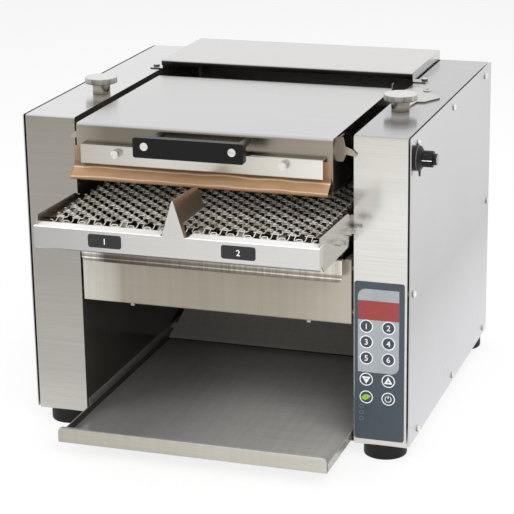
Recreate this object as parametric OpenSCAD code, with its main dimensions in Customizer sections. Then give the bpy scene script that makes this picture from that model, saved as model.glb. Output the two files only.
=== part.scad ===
// Conveyor toaster: two side towers, a wire mesh belt between them and a heated head that tilts and lifts.
// Millimetres, +Z up. Modules are drawn with x = 0 on the middle plane and y = 0 on the towers' fronts,
// and place() moves them so that the origin lies under the centre of the whole machine.

/* [Body] */
// Width over the two side towers
body_w = 600; // [570:5:660]
// Depth of the towers
body_d = 555; // [545:5:620]
// Height of the towers above their undersides
body_h = 480; // [476:2:520]
// Width of each side tower
tower_w = 81; // [78:1:92]
// Thickness of the steel sheet
sheet = 1.5; // [1.2:0.1:2]
// Outer bend radius of the towers
bend_r = 4; // [3:0.5:8]
// Gap between a tower and its side panel
panel_gap = 3; // [2:0.5:5]
// Width of the lip that closes in each tower's open side
tower_lip = 32; // [30:1:40]
// Height of the lower front panel
front_panel_h = 101; // [80:1:140]
// Height of the lower front panel's top edge above the tower bottoms
front_panel_top = 291; // [270:1:294]

/* [Feet] */
// Diameter of a rubber foot
foot_d = 66; // [50:1:74]
// Height of a rubber foot
foot_h = 23; // [15:1:40]
// Distance of the front feet from the towers' fronts
foot_inset = 34; // [34:1:60]
// Distance of the rear feet from the towers' backs
foot_back = 23; // [23:1:60]

/* [Head] */
// Gap between the head and each tower
head_gap = 20; // [15:1:30]
// How far the head stands out in front of the towers
head_reach = 39; // [30:1:45]
// Length of the head from front to back
head_len = 349; // [330:1:352]
// Height of the head's side walls
head_h = 81; // [70:1:90]
// Height of the lid above the tower tops
lid_rise = 2; // [0:0.5:6]
// Slope of the platen, down to the back
platen_tilt = 4; // [3:0.25:4.5]
// Thickness of the platen
platen_t = 10; // [6:1:14]
// Diameter of the tilt tube
tilt_d = 16; // [12:1:20]
// Length of the handle bar
handle_w = 169; // [120:1:220]
// Height of the handle bar
handle_h = 30; // [20:1:36]
// Distance between the handle posts
post_span = 134; // [80:1:150]
// Reach of the handle bar in front of the head
handle_reach = 61; // [45:1:80]
// Length of the clamp bar
clamp_w = 375.4; // [300:1:380]
// Height of the clamp bar
clamp_h = 30; // [20:1:34]
// Distance between the clamp screws
clamp_span = 260; // [150:1:300]
// Thickness of the release sheet
release_t = 0.8; // [0.5:0.1:1]

/* [Height knobs] */
// Diameter of the knurled disc
knob_d = 51; // [40:1:60]
// Thickness of the knurled disc
knob_t = 9; // [6:1:14]
// Height of the polished neck
neck_h = 17; // [10:1:24]
// Diameter of the polished neck
neck_d = 28; // [20:1:32]
// Diameter of the lead screw
lead_d = 12; // [8:1:14]
// Distance of the knobs from the towers' fronts
knob_y = 169; // [120:1:200]
// Distance of the knobs from the towers' inner walls
knob_in = 26; // [24:1:36]
// Lowest travel of the lift frame
lift_down = 8; // [2:1:8]
// Highest travel of the lift frame
lift_up = 12; // [2:1:12]

/* [Conveyor] */
// Height of the belt's top above the tower bottoms
belt_top = 363; // [358:1:364]
// Width of the wire belt
belt_w = 412; // [300:4:420]
// Thickness of the belt wire
wire_d = 2; // [1.5:0.1:2.5]
// Outer radius of the belt where it turns
turn_r = 18; // [16:0.5:19]
// Meshes across the belt
belt_cols = 16; // [8:1:17]
// Rows of meshes on the upper run
belt_rows = 17; // [8:1:18]
// Distance of the idler axis in front of the towers
idler_out = 125; // [110:1:126]
// Distance of the drive axis behind the towers' fronts
drive_in = 400; // [380:1:440]
// Diameter of the two belt shafts
shaft_d = 12; // [8:1:14]
// Teeth of each belt sprocket
belt_teeth = 12; // [8:1:16]

/* [Infeed] */
// Distance of the front plate's face in front of the towers
infeed_reach = 167; // [165:1:190]
// Height of the front plate
infeed_h = 31; // [26:1:40]
// Depth of the front plate's top return
infeed_top = 25; // [14:1:25]
// Height of the belt's top above the front plate
infeed_drop = 5; // [3:1:7]
// Height of the lane divider's ridge above the front plate
divider_h = 53; // [30:1:60]
// Width of the lane divider at its foot
divider_w = 34; // [24:1:44]
// Length of the lane divider
divider_len = 97; // [60:1:99]

/* [Trays] */
// Height of the crumb tray's front lip
crumb_lip = 38; // [24:1:50]
// Width of the crumb tray
crumb_w = 414; // [380:2:420]
// Width of the discharge tray
tray_w = 426; // [400:2:430]
// Reach of the discharge tray in front of the towers
tray_reach = 126; // [80:1:160]
// Height of the discharge tray's front lip
tray_lip = 24; // [14:1:40]
// Large radius of the return chute
chute_r = 370; // [300:5:400]

/* [Controls] */
// Width of the keypad
keypad_w = 76.5; // [70:0.5:77]
// Height of the keypad
keypad_h = 250; // [246:1:300]
// Diameter of a key
key_d = 17; // [12:0.5:18]
// Travel of a key
key_travel = 0.5; // [0.3:0.1:0.6]
// Diameter of the dial's skirt
dial_d = 37; // [28:1:44]
// Diameter of the dial's fluted body
dial_body_d = 24; // [18:1:26]
// How far the dial stands out from the side panel
dial_h = 32.5; // [24:0.5:40]

/* [Fasteners] */
// Diameter of a panel screw's head
screw_d = 10; // [8:0.5:11]
// Height of a panel screw's head
screw_h = 2.4; // [1.6:0.2:3.2]
// Radial clearance of a shaft or screw in its bore
fit = 0.05; // [0.02:0.01:0.1]
// Gap between pieces that move past each other
gap = 0.3; // [0.2:0.05:0.5]

/* [Hidden] */
$fn = 48;

// Main planes
half_w = body_w / 2;
bay = half_w - tower_w;
low_z = foot_h;
top_z = foot_h + body_h;
mid_tower = half_w - tower_w / 2;
panel_x = half_w + panel_gap;
rear_reach = 10;
pan_lip = 22;
rear_y = body_d - 4;
mid_x = (screw_h - dial_h) / 2;
front_y = (infeed_reach - body_d - rear_reach) / 2;

// Conveyor
belt_z = low_z + belt_top;
shaft_z = belt_z - turn_r;
idler_y = -idler_out;
drive_y = drive_in;
belt_in_r = turn_r - wire_d;
link_gap = gap / 2;
bearing_d = shaft_d + 8;
bearing_lip = bearing_d + 8;

// Head
head_x = bay - head_gap;
head_front = -head_reach;
head_back = head_front + head_len;
lid_z = top_z + lid_rise;
skirt_z = lid_z - head_h;
platen_front = [head_front + 3, skirt_z - 1.8];
platen_back = [head_back - 10, platen_front[1] - (head_len - 13) * tan(platen_tilt)];
tilt_y = head_back + 15;
tilt_z = lid_z - 32;
handle_z = lid_z - handle_h / 2;
clamp_z = lid_z - 43;
clamp_front = head_front - 13;
ear_x = 150;
cover_x = bay - 3;
cover_y = head_back + 50;
cover_z = top_z + 16;

// Knobs and lift
knob_x = bay + knob_in;
collar_h = 6;
nut_h = 20;
nut_z = top_z - sheet - gap - collar_h - lift_up - 4 - nut_h;
arm_x = bay + sheet + 9;

// Infeed
plate_x = bay - 4;
rail_z = belt_z - wire_d - gap;
infeed_z = belt_z - infeed_drop;
bolt_z = shaft_z - infeed_drop;
bolt_y = [-70, -19];
element_y = [60, 170, 280];
element_d = 8;
element_z = shaft_z + 5;

// Trays
crumb_z = low_z + front_panel_top + gap;
crumb_front = -20;
crumb_rise = 8;
tray_z = low_z + sheet + gap;
chute_small_r = 90;
chute_knee = 36;
chute_lead = 67;
chute_y = rear_y - 11.4 - chute_small_r - (chute_r - chute_small_r) * sin(chute_knee);
chute_z = tray_z + sheet + 1;

// Controls
keypad_t = 1;
keypad_mid = mid_tower - 1.25;
keypad_low = low_z + 10;
key_x = [keypad_mid - 19.75, keypad_mid + 14.25];
key_rows = [180.5, 156, 130.5, 96.5, 68];
dial_y = 24;
dial_z = low_z + body_h - 34;
bezel_t = 5;

lock_y = 299;
fan_z = low_z + 300;
fan_size = 60;
gland_z = low_z + 60;

// Motor
motor_z = low_z + 180;
sprocket_x = bay + 32;
sprocket_t = 3;

// Helpers: one profile drawn along X, Y or Z, and plain rods
module place() translate([mid_x, front_y, 0]) children();
module along_x(a, b) translate([a, 0, 0]) rotate([90, 0, 90]) linear_extrude(b - a) children();
module along_y(a, b) translate([0, b, 0]) rotate([90, 0, 0]) linear_extrude(b - a) children();
module along_z(a, b) translate([0, 0, a]) linear_extrude(b - a) children();
module rod_x(a, b, y, z, d) translate([a, y, z]) rotate([0, 90, 0]) cylinder(h = b - a, d = d);
module rod_y(a, b, x, z, d) translate([x, b, z]) rotate([90, 0, 0]) cylinder(h = b - a, d = d);
module rod_z(a, b, x, y, d) translate([x, y, a]) cylinder(h = b - a, d = d);
module both_sides() {
    children();
    mirror([1, 0, 0]) children();
}

// Rectangle between two corners with four round corners
module rrect(x0, y0, x1, y1, r) {
    translate([x0 + r, y0]) square([x1 - x0 - 2 * r, y1 - y0]);
    translate([x0, y0 + r]) square([x1 - x0, y1 - y0 - 2 * r]);
    for (x = [x0 + r, x1 - r], y = [y0 + r, y1 - r]) translate([x, y]) circle(r);
}

// Bent sheet: a path with rounded corners is one face, the other lies d to its left
function unit(v) = v / norm(v);
function turn(a, b, c) = let (u = unit(b - a), w = unit(c - b)) atan2(u[0] * w[1] - u[1] * w[0], u * w);
function corner(a, b, c, r) =
    let (t = turn(a, b, c), u = unit(b - a), n = [-u[1], u[0]] * sign(t))
    let (m = b - u * r * tan(abs(t) / 2) + n * r, steps = ceil(abs(t) / 15))
    abs(t) < 1 ? [b] : [for (i = [0:steps]) let (k = t * i / steps)
        m - r * [n[0] * cos(k) - n[1] * sin(k), n[0] * sin(k) + n[1] * cos(k)]];
function rounded(p, r) =
    concat([p[0]], [for (i = [1:len(p) - 2]) each corner(p[i - 1], p[i], p[i + 1], r)], [p[len(p) - 1]]);
function beside(p, d) = [for (i = [0:len(p) - 1])
    let (a = unit(p[max(i, 1)] - p[max(i, 1) - 1]), last = len(p) - 1)
    let (b = i == last ? a : unit(p[i + 1] - p[i]), n = [-(a[1] + b[1]), a[0] + b[0]])
    p[i] + n * (2 * d / (n * n))];
function backwards(p) = [for (i = [len(p) - 1:-1:0]) p[i]];
module bent(p, r, d) {
    q = len(p) > 2 ? rounded(p, r) : p;
    polygon(concat(q, backwards(beside(q, d))));
}

// Places of the panel screws in a tower's side: distance from the front and height above the bottom
function side_screws() = [for (y = [dial_y + 16, body_d / 2 - 5, body_d - 47]) [y, body_h - 15],
    for (y = [54, body_d / 2 + 11, body_d - 27]) [y, 13],
    for (y = [20.7, body_d - 14]) [y, body_h / 2]];

// Places of the two screws on the rear cover's foot tabs
tab_x = bay + 13;
tab_y = cover_y + 18;

module pan_screw(len, shank) {
    difference() {
        rotate_extrude() polygon([[0, 0], [screw_d / 2, 0], [screw_d / 2, screw_h * 0.45],
            [screw_d / 2 - 0.9, screw_h * 0.85], [screw_d / 2 - 2.2, screw_h], [0, screw_h]]);
        for (a = [0, 90]) rotate([0, 0, a]) translate([-2.4, -0.5, screw_h - 1.1]) cube([4.8, 1, 2]);
    }
    translate([0, 0, -len]) cylinder(h = len, d = shank);
}

// ---- Towers and panels ----
module tower_shell() {
    difference() {
        along_x(bay, half_w) rrect(0, low_z, body_d, top_z, bend_r);
        along_x(bay + sheet, half_w - sheet)
            rrect(sheet, low_z + sheet, body_d - sheet, top_z - sheet, bend_r - sheet);
        along_x(half_w - 2 * sheet, half_w + 1)
            rrect(tower_lip, low_z + tower_lip, body_d - tower_lip, top_z - tower_lip, bend_r);
        for (p = side_screws()) rod_x(half_w - 2 * sheet, half_w + 1, p[0], low_z + p[1], 5);
        rod_z(top_z - 2 * sheet, top_z + 1, knob_x, knob_y, lead_d + 2 * fit);
        rod_z(top_z - 2 * sheet, top_z + 1, tab_x, tab_y, 5);
        rod_x(bay - 1, bay + 2 * sheet, drive_y, shaft_z, bearing_d);
        along_x(bay - 1, bay + 2 * sheet) {
            translate([tilt_y - tilt_d / 2 - 1, tilt_z - lift_down])
                square([tilt_d + 2, lift_down + lift_up]);
            for (z = [tilt_z - lift_down, tilt_z + lift_up]) translate([tilt_y, z]) circle(d = tilt_d + 2);
        }
        element_holes();
    }
}

module element_holes() for (y = element_y)
    rod_x(bay - 5, bay + 2 * sheet, y, element_z, element_d + 0.4);

module tower_left() color("lightgray") mirror([1, 0, 0]) tower_shell();

module tower_right() color("lightgray") difference() {
    tower_shell();
    rod_x(half_w - 2 * sheet, half_w + 1, dial_y, dial_z, 8 + 2 * fit);
    for (i = [-3:3]) translate([mid_tower - 22, body_d - 2 * sheet, fan_z + i * 8 - 2])
        cube([44, 3 * sheet, 4]);
    rod_y(body_d - 2 * sheet, body_d + 1, mid_tower, gland_z, 20);
}

module side_sheet() difference() {
    union() {
        along_x(panel_x, panel_x + sheet) rrect(0, low_z + 2.6, body_d, top_z, 3);
        for (p = side_screws()) rod_x(half_w, panel_x, p[0], low_z + p[1], 11);
    }
    for (p = side_screws()) rod_x(half_w - 1, panel_x + sheet + 1, p[0], low_z + p[1], 5);
}

module side_panel_left() color("silver") mirror([1, 0, 0]) side_sheet();

module side_panel_right() color("silver") difference() {
    side_sheet();
    rod_x(panel_x - 1, panel_x + sheet + 1, dial_y, dial_z, 8 + 2 * fit);
}

module panel_screws() color("whitesmoke") {
    both_sides() for (p = side_screws())
        translate([panel_x + sheet, p[0], low_z + p[1]]) rotate([0, 90, 0]) pan_screw(10, 4.9);
    both_sides() translate([tab_x, tab_y, top_z + sheet]) pan_screw(8, 4.9);
}

module base_pan() color("gray") along_y(bend_r + 4, body_d - bend_r - 4)
    bent([[-bay, low_z + pan_lip], [-bay, low_z], [bay, low_z], [bay, low_z + pan_lip]], 3, sheet);

module rear_panel() color("silver") {
    top = cover_z - sheet - gap;
    difference() {
        along_x(-bay, bay) bent([[rear_y - 26, top], [rear_y, top], [rear_y, low_z + 3]], 3, -sheet);
        both_sides() along_x(cover_x - sheet - gap, bay + 1) translate([rear_y - 27, top_z])
            square([28, top - top_z + 1]);
    }
    both_sides() along_x(bay - sheet, bay) translate([rear_y - 8, low_z + pan_lip + 2])
        square([8 - sheet / 2, body_h - pan_lip - 6]);
}

module rear_cover() color("gainsboro") {
    along_x(-cover_x, cover_x) bent([[cover_y, cover_z - 9], [cover_y, cover_z], [rear_y + 2, cover_z]],
        4, -sheet);
    both_sides() {
        along_x(cover_x - sheet, cover_x) translate([cover_y + 4, top_z])
            square([rear_y - 2 - cover_y, cover_z - top_z - sheet / 2]);
        difference() {
            along_z(top_z, top_z + sheet) rrect(cover_x - sheet, tab_y - 16, bay + 20, tab_y + 6, 4);
            rod_z(top_z - 1, top_z + 2 * sheet, tab_x, tab_y, 5);
        }
    }
}

module lower_front_panel() color("silver") {
    top = low_z + front_panel_top;
    low = top - front_panel_h;
    along_x(-plate_x, plate_x) bent([[24, top], [0, top], [0, low], [12, low]], 3, sheet);
    both_sides() {
        along_x(plate_x - sheet, plate_x) translate([sheet, low + 4]) square([22, front_panel_h - 8]);
        for (z = [low + 16, top - 16]) rod_x(plate_x, bay, 14, z, 10);
    }
    for (x = [-135, 149]) translate([x - 3, 0, low - 2.5]) cube([6, sheet, 4]);
}

module feet() color("dimgray") both_sides()
    for (p = [[mid_tower, foot_inset], [mid_tower + 7, body_d - foot_back]])
        translate([p[0], p[1], 0]) rotate_extrude($fn = 64) polygon([[0, 0], [foot_d / 2 - 2, 0],
            [foot_d / 2 - 0.6, 0.6], [foot_d / 2, 2], [foot_d / 2, foot_h - 1],
            [foot_d / 2 - 1, foot_h], [0, foot_h]]);

// ---- Head ----
module hood_profile(grow) {
    rrect(head_front + grow, skirt_z, head_back - grow, lid_z - grow, 6 - grow);
    translate([head_front + grow, skirt_z - (grow > 0 ? 1 : 0)])
        square([head_len - 2 * grow, head_h / 2]);
}

module head_housing() color("darkgray") difference() {
    union() {
        difference() {
            along_x(-head_x, head_x) hood_profile(0);
            along_x(-head_x + sheet, head_x - sheet) hood_profile(sheet);
        }
        both_sides() along_x(ear_x, ear_x + 4) {
            translate([tilt_y, tilt_z]) circle(r = tilt_d / 2 + 6);
            translate([head_back - sheet, tilt_z - tilt_d / 2 - 6]) square([15 + sheet, tilt_d + 12]);
        }
        along_x(head_x - sheet, head_x) translate([head_back - 10, lid_z - 8]) square([10, 16]);
    }
    both_sides() rod_x(ear_x - 1, ear_x + 5, tilt_y, tilt_z, tilt_d + 2 * fit);
    for (x = [-post_span / 2, post_span / 2])
        rod_y(head_front - 1, head_front + 2 * sheet, x, handle_z + 2, 6 + 2 * fit);
    for (x = [-clamp_span / 2, clamp_span / 2])
        rod_y(head_front - 1, head_front + 2 * sheet, x, clamp_z + 4, 5 + 2 * fit);
}

module clamp_bar() color("gainsboro") difference() {
    back = head_front - release_t;
    along_x(-clamp_w / 2, clamp_w / 2) {
        bent([[back, clamp_z + clamp_h / 2], [clamp_front, clamp_z + clamp_h / 2],
            [clamp_front, clamp_z - clamp_h / 2], [back, clamp_z - clamp_h / 2]], 2, sheet);
    }
    for (x = [-clamp_span / 2, clamp_span / 2])
        rod_y(clamp_front - 1, clamp_front + 2 * sheet, x, clamp_z + 4, 5 + 2 * fit);
}

module clamp_screw(x) color("silver") {
    rod_y(clamp_front - gap - 2, head_front + 6, x, clamp_z + 4, 5);
    translate([x, clamp_front - gap, clamp_z + 4]) rotate([90, 0, 0]) linear_extrude(9)
        polygon([for (i = [0:35]) (i % 2 == 0 ? 6.5 : 6) * [cos(i * 10), sin(i * 10)]]);
}

module handle_bar() color("black") difference() {
    along_y(head_front - handle_reach, head_front - handle_reach + 12)
        rrect(-handle_w / 2, handle_z - handle_h / 2, handle_w / 2, handle_z + handle_h / 2, 3);
    for (x = [-post_span / 2, post_span / 2]) {
        rod_y(head_front - handle_reach - 1, head_front - handle_reach + 13, x, handle_z + 2, 6 + 2 * fit);
        rod_y(head_front - handle_reach - 1, head_front - handle_reach + 1.5, x, handle_z + 2, 12.6);
    }
}

module handle_posts() color("black") difference() {
    for (x = [-post_span / 2, post_span / 2])
        rod_y(head_front - handle_reach + 12, head_front, x, handle_z + 2, 12);
    for (x = [-post_span / 2, post_span / 2])
        rod_y(head_front - handle_reach + 11, head_front + 1, x, handle_z + 2, 6 + 2 * fit);
}

module handle_screws() color("whitesmoke") for (x = [-post_span / 2, post_span / 2])
    difference() {
        union() {
            rod_y(head_front - handle_reach - 0.5, head_front - handle_reach + 1.5, x, handle_z + 2, 12);
            rod_y(head_front - handle_reach, head_front + 8, x, handle_z + 2, 6);
            rod_y(head_front + sheet, head_front + sheet + 4, x, handle_z + 2, 11);
        }
        translate([x - 5, head_front - handle_reach - 1, handle_z + 1.2]) cube([10, 1.3, 1.6]);
    }

module release_sheet() color("tan") difference() {
    roll_y = head_front - 22;
    under = [0, -0.1];
    along_x(-head_x - 4, head_x - 2) bent([[head_front, clamp_z + clamp_h / 2 - 6],
        [head_front, clamp_z - clamp_h / 2 - 4], [roll_y, skirt_z + 1.5], platen_front + under,
        platen_back + under], 3.2, -release_t);
    for (x = [-clamp_span / 2, clamp_span / 2])
        rod_y(head_front - 2, head_front + 1, x, clamp_z + 4, 6);
}

module platen() color("darkgray") {
    up = [platen_t * sin(platen_tilt), platen_t * cos(platen_tilt)];
    along_x(-head_x + 9, head_x - 9)
        polygon([platen_front, platen_back, platen_back + up, platen_front + up]);
    both_sides() along_x(head_x - 9, head_x - sheet)
        polygon([platen_front, platen_back, [platen_back[0], skirt_z + 10], [platen_front[0], skirt_z + 10]]);
}

module upper_element() color("dimgray") {
    lift = (platen_t + element_d / 2) * [sin(platen_tilt), cos(platen_tilt)];
    for (k = [0.15:0.175:0.85]) {
        p = platen_front * (1 - k) + platen_back * k + lift;
        rod_x(-head_x + 12, head_x - 12, p[0], p[1], element_d);
    }
}

module height_pointers() color("silver") both_sides() {
    base = lid_z - 41;
    along_x(head_x, head_x + sheet) translate([-4, base]) square([22, 36]);
    along_y(-4, -4 + sheet) polygon([[head_x, base], [head_x + 5, base], [head_x + 10, base + 11],
        [head_x + 24, base + 8], [head_x + 25.7, base + 11.4], [head_x + 19.5, base + 18],
        [head_x + 9, base + 22], [head_x + 6, base + 36], [head_x, base + 36]]);
}

// ---- Lift ----
module lift_frame() color("dimgray") {
    difference() {
        union() {
            rod_x(-arm_x - 6, arm_x + 6, tilt_y, tilt_z, tilt_d);
            both_sides() {
                along_x(arm_x, arm_x + 6) translate([knob_y - 12, nut_z])
                    square([tilt_y - knob_y + 12 + tilt_d / 2, tilt_z + tilt_d / 2 - nut_z]);
                translate([arm_x, knob_y - 12, nut_z]) cube([knob_x + 12 - arm_x, 24, nut_h]);
            }
        }
        both_sides() {
            rod_z(nut_z - 1, nut_z + nut_h + 1, knob_x, knob_y, lead_d + 2 * fit);
            along_x(arm_x - 1, arm_x + 7) translate([knob_y + 22, nut_z + nut_h])
                rrect(0, -nut_h + 8, tilt_y - knob_y - 44, tilt_z - nut_z - nut_h - 2, 4);
        }
    }
}

module adjust_knob(x) color("silver") {
    teeth = 72;
    rod_z(top_z + gap, top_z + neck_h, x, knob_y, neck_d);
    along_z(top_z + neck_h, top_z + neck_h + knob_t) translate([x, knob_y])
        polygon([for (i = [0:2 * teeth - 1])
            (knob_d / 2 - (i % 2) * 0.8) * [cos(i * 180 / teeth), sin(i * 180 / teeth)]]);
    rod_z(top_z - sheet - gap - collar_h, top_z - sheet - gap, x, knob_y, lead_d + 8);
    rod_z(nut_z - lift_down - 10, top_z + neck_h, x, knob_y, lead_d);
}

module lock_plate() color("silver") difference() {
    x = mid_tower;
    tip = knob_y + neck_d / 2 + 2.5;
    along_z(top_z + gap, top_z + gap + 2) {
        polygon([[x - 23, tip], [x - 7, tip], [x - 2, tip + 38], [x + 9, tip + 40], [x + 25, tip + 70],
            [x + 22.5, tip + 81], [x - 25, tip + 139], [x - 40.5, tip + 116]]);
        translate([x + 17, tip + 73]) circle(r = 8.5);
    }
    rod_z(top_z - 1, top_z + 4, x - 4, lock_y, 6 + 2 * fit);
}

module lock_screw() color("whitesmoke") {
    rod_z(top_z, top_z + 2 * gap + 2, mid_tower - 4, lock_y, 6);
    translate([mid_tower - 4, lock_y, top_z + 2 * gap + 2]) rotate_extrude() difference() {
        intersection() {
            translate([0, -9.25]) circle(r = 11.6);
            square([7, 4]);
        }
        translate([0, 1.4]) square([1.9, 4]);
    }
}

// ---- Infeed ----
module infeed_side() difference() {
    slot_y = infeed_top - infeed_reach + gap;
    slot_z = infeed_z - sheet - 2;
    union() {
        along_x(plate_x - sheet, plate_x) polygon([[-157, rail_z + 11], [-160, infeed_z + gap],
            [slot_y, infeed_z + gap], [slot_y, slot_z], [-161, slot_z], [-162, slot_z - 26],
            [-149, slot_z - 29], [-140, slot_z - 38], [-17, slot_z - 39], [-5, rail_z - 26],
            [sheet, rail_z - 26], [sheet, rail_z], [-5, rail_z], [-19, rail_z + 7]]);
        along_x(plate_x - sheet, bay) translate([0, rail_z - 26]) square([sheet, 26]);
        along_x(bay - sheet, bay) translate([0, rail_z - 26]) square([drive_y - 22, 26]);
        along_x(belt_w / 2 - 6, plate_x) translate([idler_y + 2, rail_z - sheet])
            square([idler_out - 2 + sheet, sheet]);
        along_x(belt_w / 2 - 6, bay) translate([0, rail_z - sheet]) square([drive_y - 22, sheet]);
    }
    for (y = bolt_y) rod_x(plate_x - 3, plate_x + 1, y, bolt_z, 6 + 2 * fit);
    element_holes();
}

module infeed_side_left() color("darkgray") mirror([1, 0, 0]) infeed_side();
module infeed_side_right() color("darkgray") infeed_side();

module infeed_bolts() color("silver") both_sides() for (y = bolt_y) {
    rod_x(plate_x - sheet - 3, plate_x + 13, y, bolt_z, 6);
    translate([plate_x - sheet - 4, y, bolt_z]) rotate([0, 90, 0]) cylinder(h = 4, d = 11.5, $fn = 6);
    translate([plate_x, y, bolt_z]) rotate([0, 90, 0]) cylinder(h = 5, d = 11.5, $fn = 6);
}

module infeed_front() color("gainsboro") {
    face = -infeed_reach;
    end_x = plate_x + sheet;
    top = infeed_z;
    difference() {
        along_x(-end_x, end_x) bent([[face + infeed_top, top], [face, top], [face, top - infeed_h],
            [face + 6, top - infeed_h - 4]], 2, sheet);
        along_z(top - 4, top + 1) rrect(-divider_w / 2 - 4, face + sheet, divider_w / 2 + 4, face + 40, 4);
        both_sides() along_z(top - 4, top + 1)
            polygon([[end_x - 5, face + 40], [end_x + 1, face + infeed_top - 8], [end_x + 1, face + 40]]);
    }
    both_sides() along_x(plate_x, end_x) translate([face + sheet, top - infeed_h + 2])
        square([15, infeed_h - 2 * sheet]);
}

module lane_divider() color("silver") {
    face = -infeed_reach;
    ridge = infeed_z + divider_h;
    open_z = infeed_z + 18;
    back = face + divider_len;
    slope = (divider_w / 2) / divider_h;
    inside = divider_w / 2 - 2 * slope * sheet - sheet * 0.6;
    intersection() {
        difference() {
            along_y(face, back + 4) polygon([[-divider_w / 2, infeed_z], [-1, ridge], [1, ridge],
                [divider_w / 2, infeed_z]]);
            along_y(face + sheet, back + 5)
                polygon([[-inside, infeed_z - 1], [0, ridge - 5], [inside, infeed_z - 1]]);
        }
        along_x(-divider_w, divider_w) polygon([[face, infeed_z], [face + 9, infeed_z], [face + 12, open_z],
            [back + 4, open_z], [back, ridge - 4], [face + 6, ridge], [face, ridge]]);
    }
    along_x(-divider_w / 2 + 3, divider_w / 2 - 3)
        bent([[face + sheet, infeed_z + 8], [face + sheet, infeed_z - 24]], 1, sheet);
}

// ---- Conveyor ----
// The upper run is a net of wires: its meshes are holes that shift by half a mesh from row to row
module belt_net() {
    pitch_x = (belt_w - wire_d) / belt_cols;
    pitch_y = (drive_y - idler_y - 2 * link_gap - wire_d) / belt_rows;
    half = belt_w / 2;
    meshes = [for (j = [0:belt_rows - 1]) let (y = idler_y + link_gap + wire_d + j * pitch_y)
        for (i = [0:belt_cols - (j % 2 == 0 ? 1 : 0)])
            let (s = (j % 2 == 0 ? i : i - 0.5) * pitch_x + wire_d - half)
            let (x0 = max(s, wire_d - half), x1 = min(s + pitch_x - wire_d, half - wire_d))
            [[x0, y], [x1, y], [x1, y + pitch_y - wire_d], [x0, y + pitch_y - wire_d]]];
    front = idler_y + link_gap;
    back = drive_y - link_gap;
    rim = [[-half, front], [half, front], [half, back], [-half, back]];
    polygon(concat(rim, [for (m = meshes) each m]),
        [for (k = [0:len(meshes)]) [4 * k, 4 * k + 1, 4 * k + 2, 4 * k + 3]]);
}

// The belt's four lengths: net on top, plain band below and a slotted turn round each shaft
module wire_belt() color("gray") {
    half = belt_w / 2;
    along_z(belt_z - wire_d, belt_z) belt_net();
    along_x(-half, half) translate([idler_y + link_gap, shaft_z - turn_r])
        square([drive_y - idler_y - 2 * link_gap, wire_d]);
    belt_turn(idler_y, -1);
    belt_turn(drive_y, 1);
}

module belt_turn(y, side) difference() {
    half = belt_w / 2;
    pitch_x = (belt_w - wire_d) / belt_cols;
    along_x(-half, half) difference() {
        translate([y, shaft_z]) circle(turn_r, $fn = 96);
        translate([y, shaft_z]) circle(belt_in_r, $fn = 96);
        translate([y - (side > 0 ? turn_r + 1 : 0), shaft_z - turn_r - 1])
            square([turn_r + 1, 2 * turn_r + 2]);
    }
    for (i = [0:belt_cols - 1], a = [30, -30]) translate([0, y, shaft_z]) rotate([side * -a, 0, 0])
        translate([wire_d - half + i * pitch_x, side > 0 ? turn_r - 4 : -turn_r - 2, -turn_r * 0.42])
            cube([pitch_x - wire_d, 6, turn_r * 0.84]);
}

module toothed(d_root, d_tip, teeth) {
    circle(d = d_root);
    for (i = [0:teeth - 1]) rotate(i * 360 / teeth) translate([0, -1.4]) square([d_tip / 2, 2.8]);
}

belt_wheel_x = [-150, -90, -30, 30, 90, 150];
module drive_shaft() color("silver") {
    rod_x(-sprocket_x - 6, bay + 6, drive_y, shaft_z, shaft_d);
    tip = 2 * (belt_in_r - gap);
    for (x = belt_wheel_x) along_x(x - 3, x + 3) translate([drive_y, shaft_z])
        toothed(tip - 5, tip, belt_teeth);
    along_x(-sprocket_x - sprocket_t / 2, -sprocket_x + sprocket_t / 2) translate([drive_y, shaft_z])
        toothed(34, 38, 18);
    rod_x(-sprocket_x + sprocket_t / 2, -bay - sheet - 3, drive_y, shaft_z, shaft_d + 8);
}

module idler_shaft() color("silver") {
    end = plate_x - sheet - gap;
    rod_x(-end, end, idler_y, shaft_z, shaft_d);
    for (x = belt_wheel_x) rod_x(x - 6, x + 6, idler_y, shaft_z, 2 * (belt_in_r - gap));
}

// The drive shaft turns in flanged bushes through the towers, the idler in blocks on the infeed sides
module shaft_bearings() color("peru") both_sides() {
    difference() {
        union() {
            rod_x(bay - 2.5, bay, drive_y, shaft_z, bearing_lip);
            rod_x(bay - 2.5, bay + sheet + 2, drive_y, shaft_z, bearing_d);
        }
        rod_x(bay - 3, bay + 5, drive_y, shaft_z, shaft_d + 2 * fit);
    }
    difference() {
        rod_x(plate_x - sheet - 8, plate_x - sheet, idler_y, shaft_z, bearing_d + 4);
        rod_x(plate_x - sheet - 9, plate_x - sheet + 1, idler_y, shaft_z, shaft_d + 2 * fit);
    }
}

module drive_chain() color("dimgray") {
    link = sprocket_t + 3;
    along_x(-sprocket_x - link / 2, -sprocket_x + link / 2) difference() {
        chain_loop(19 + gap + 3, 13 + gap + 3);
        chain_loop(19 + gap, 13 + gap);
    }
}

// Loop around the drive sprocket and the motor sprocket: two circles and the band between their tangents
module chain_loop(r_drive, r_motor) {
    span = shaft_z - motor_z;
    a = asin((r_drive - r_motor) / span);
    translate([drive_y, shaft_z]) circle(r_drive);
    translate([drive_y, motor_z]) circle(r_motor);
    polygon([[drive_y + r_drive * cos(a), shaft_z - r_drive * sin(a)],
        [drive_y - r_drive * cos(a), shaft_z - r_drive * sin(a)],
        [drive_y - r_motor * cos(a), motor_z - r_motor * sin(a)],
        [drive_y + r_motor * cos(a), motor_z - r_motor * sin(a)]]);
}

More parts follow.
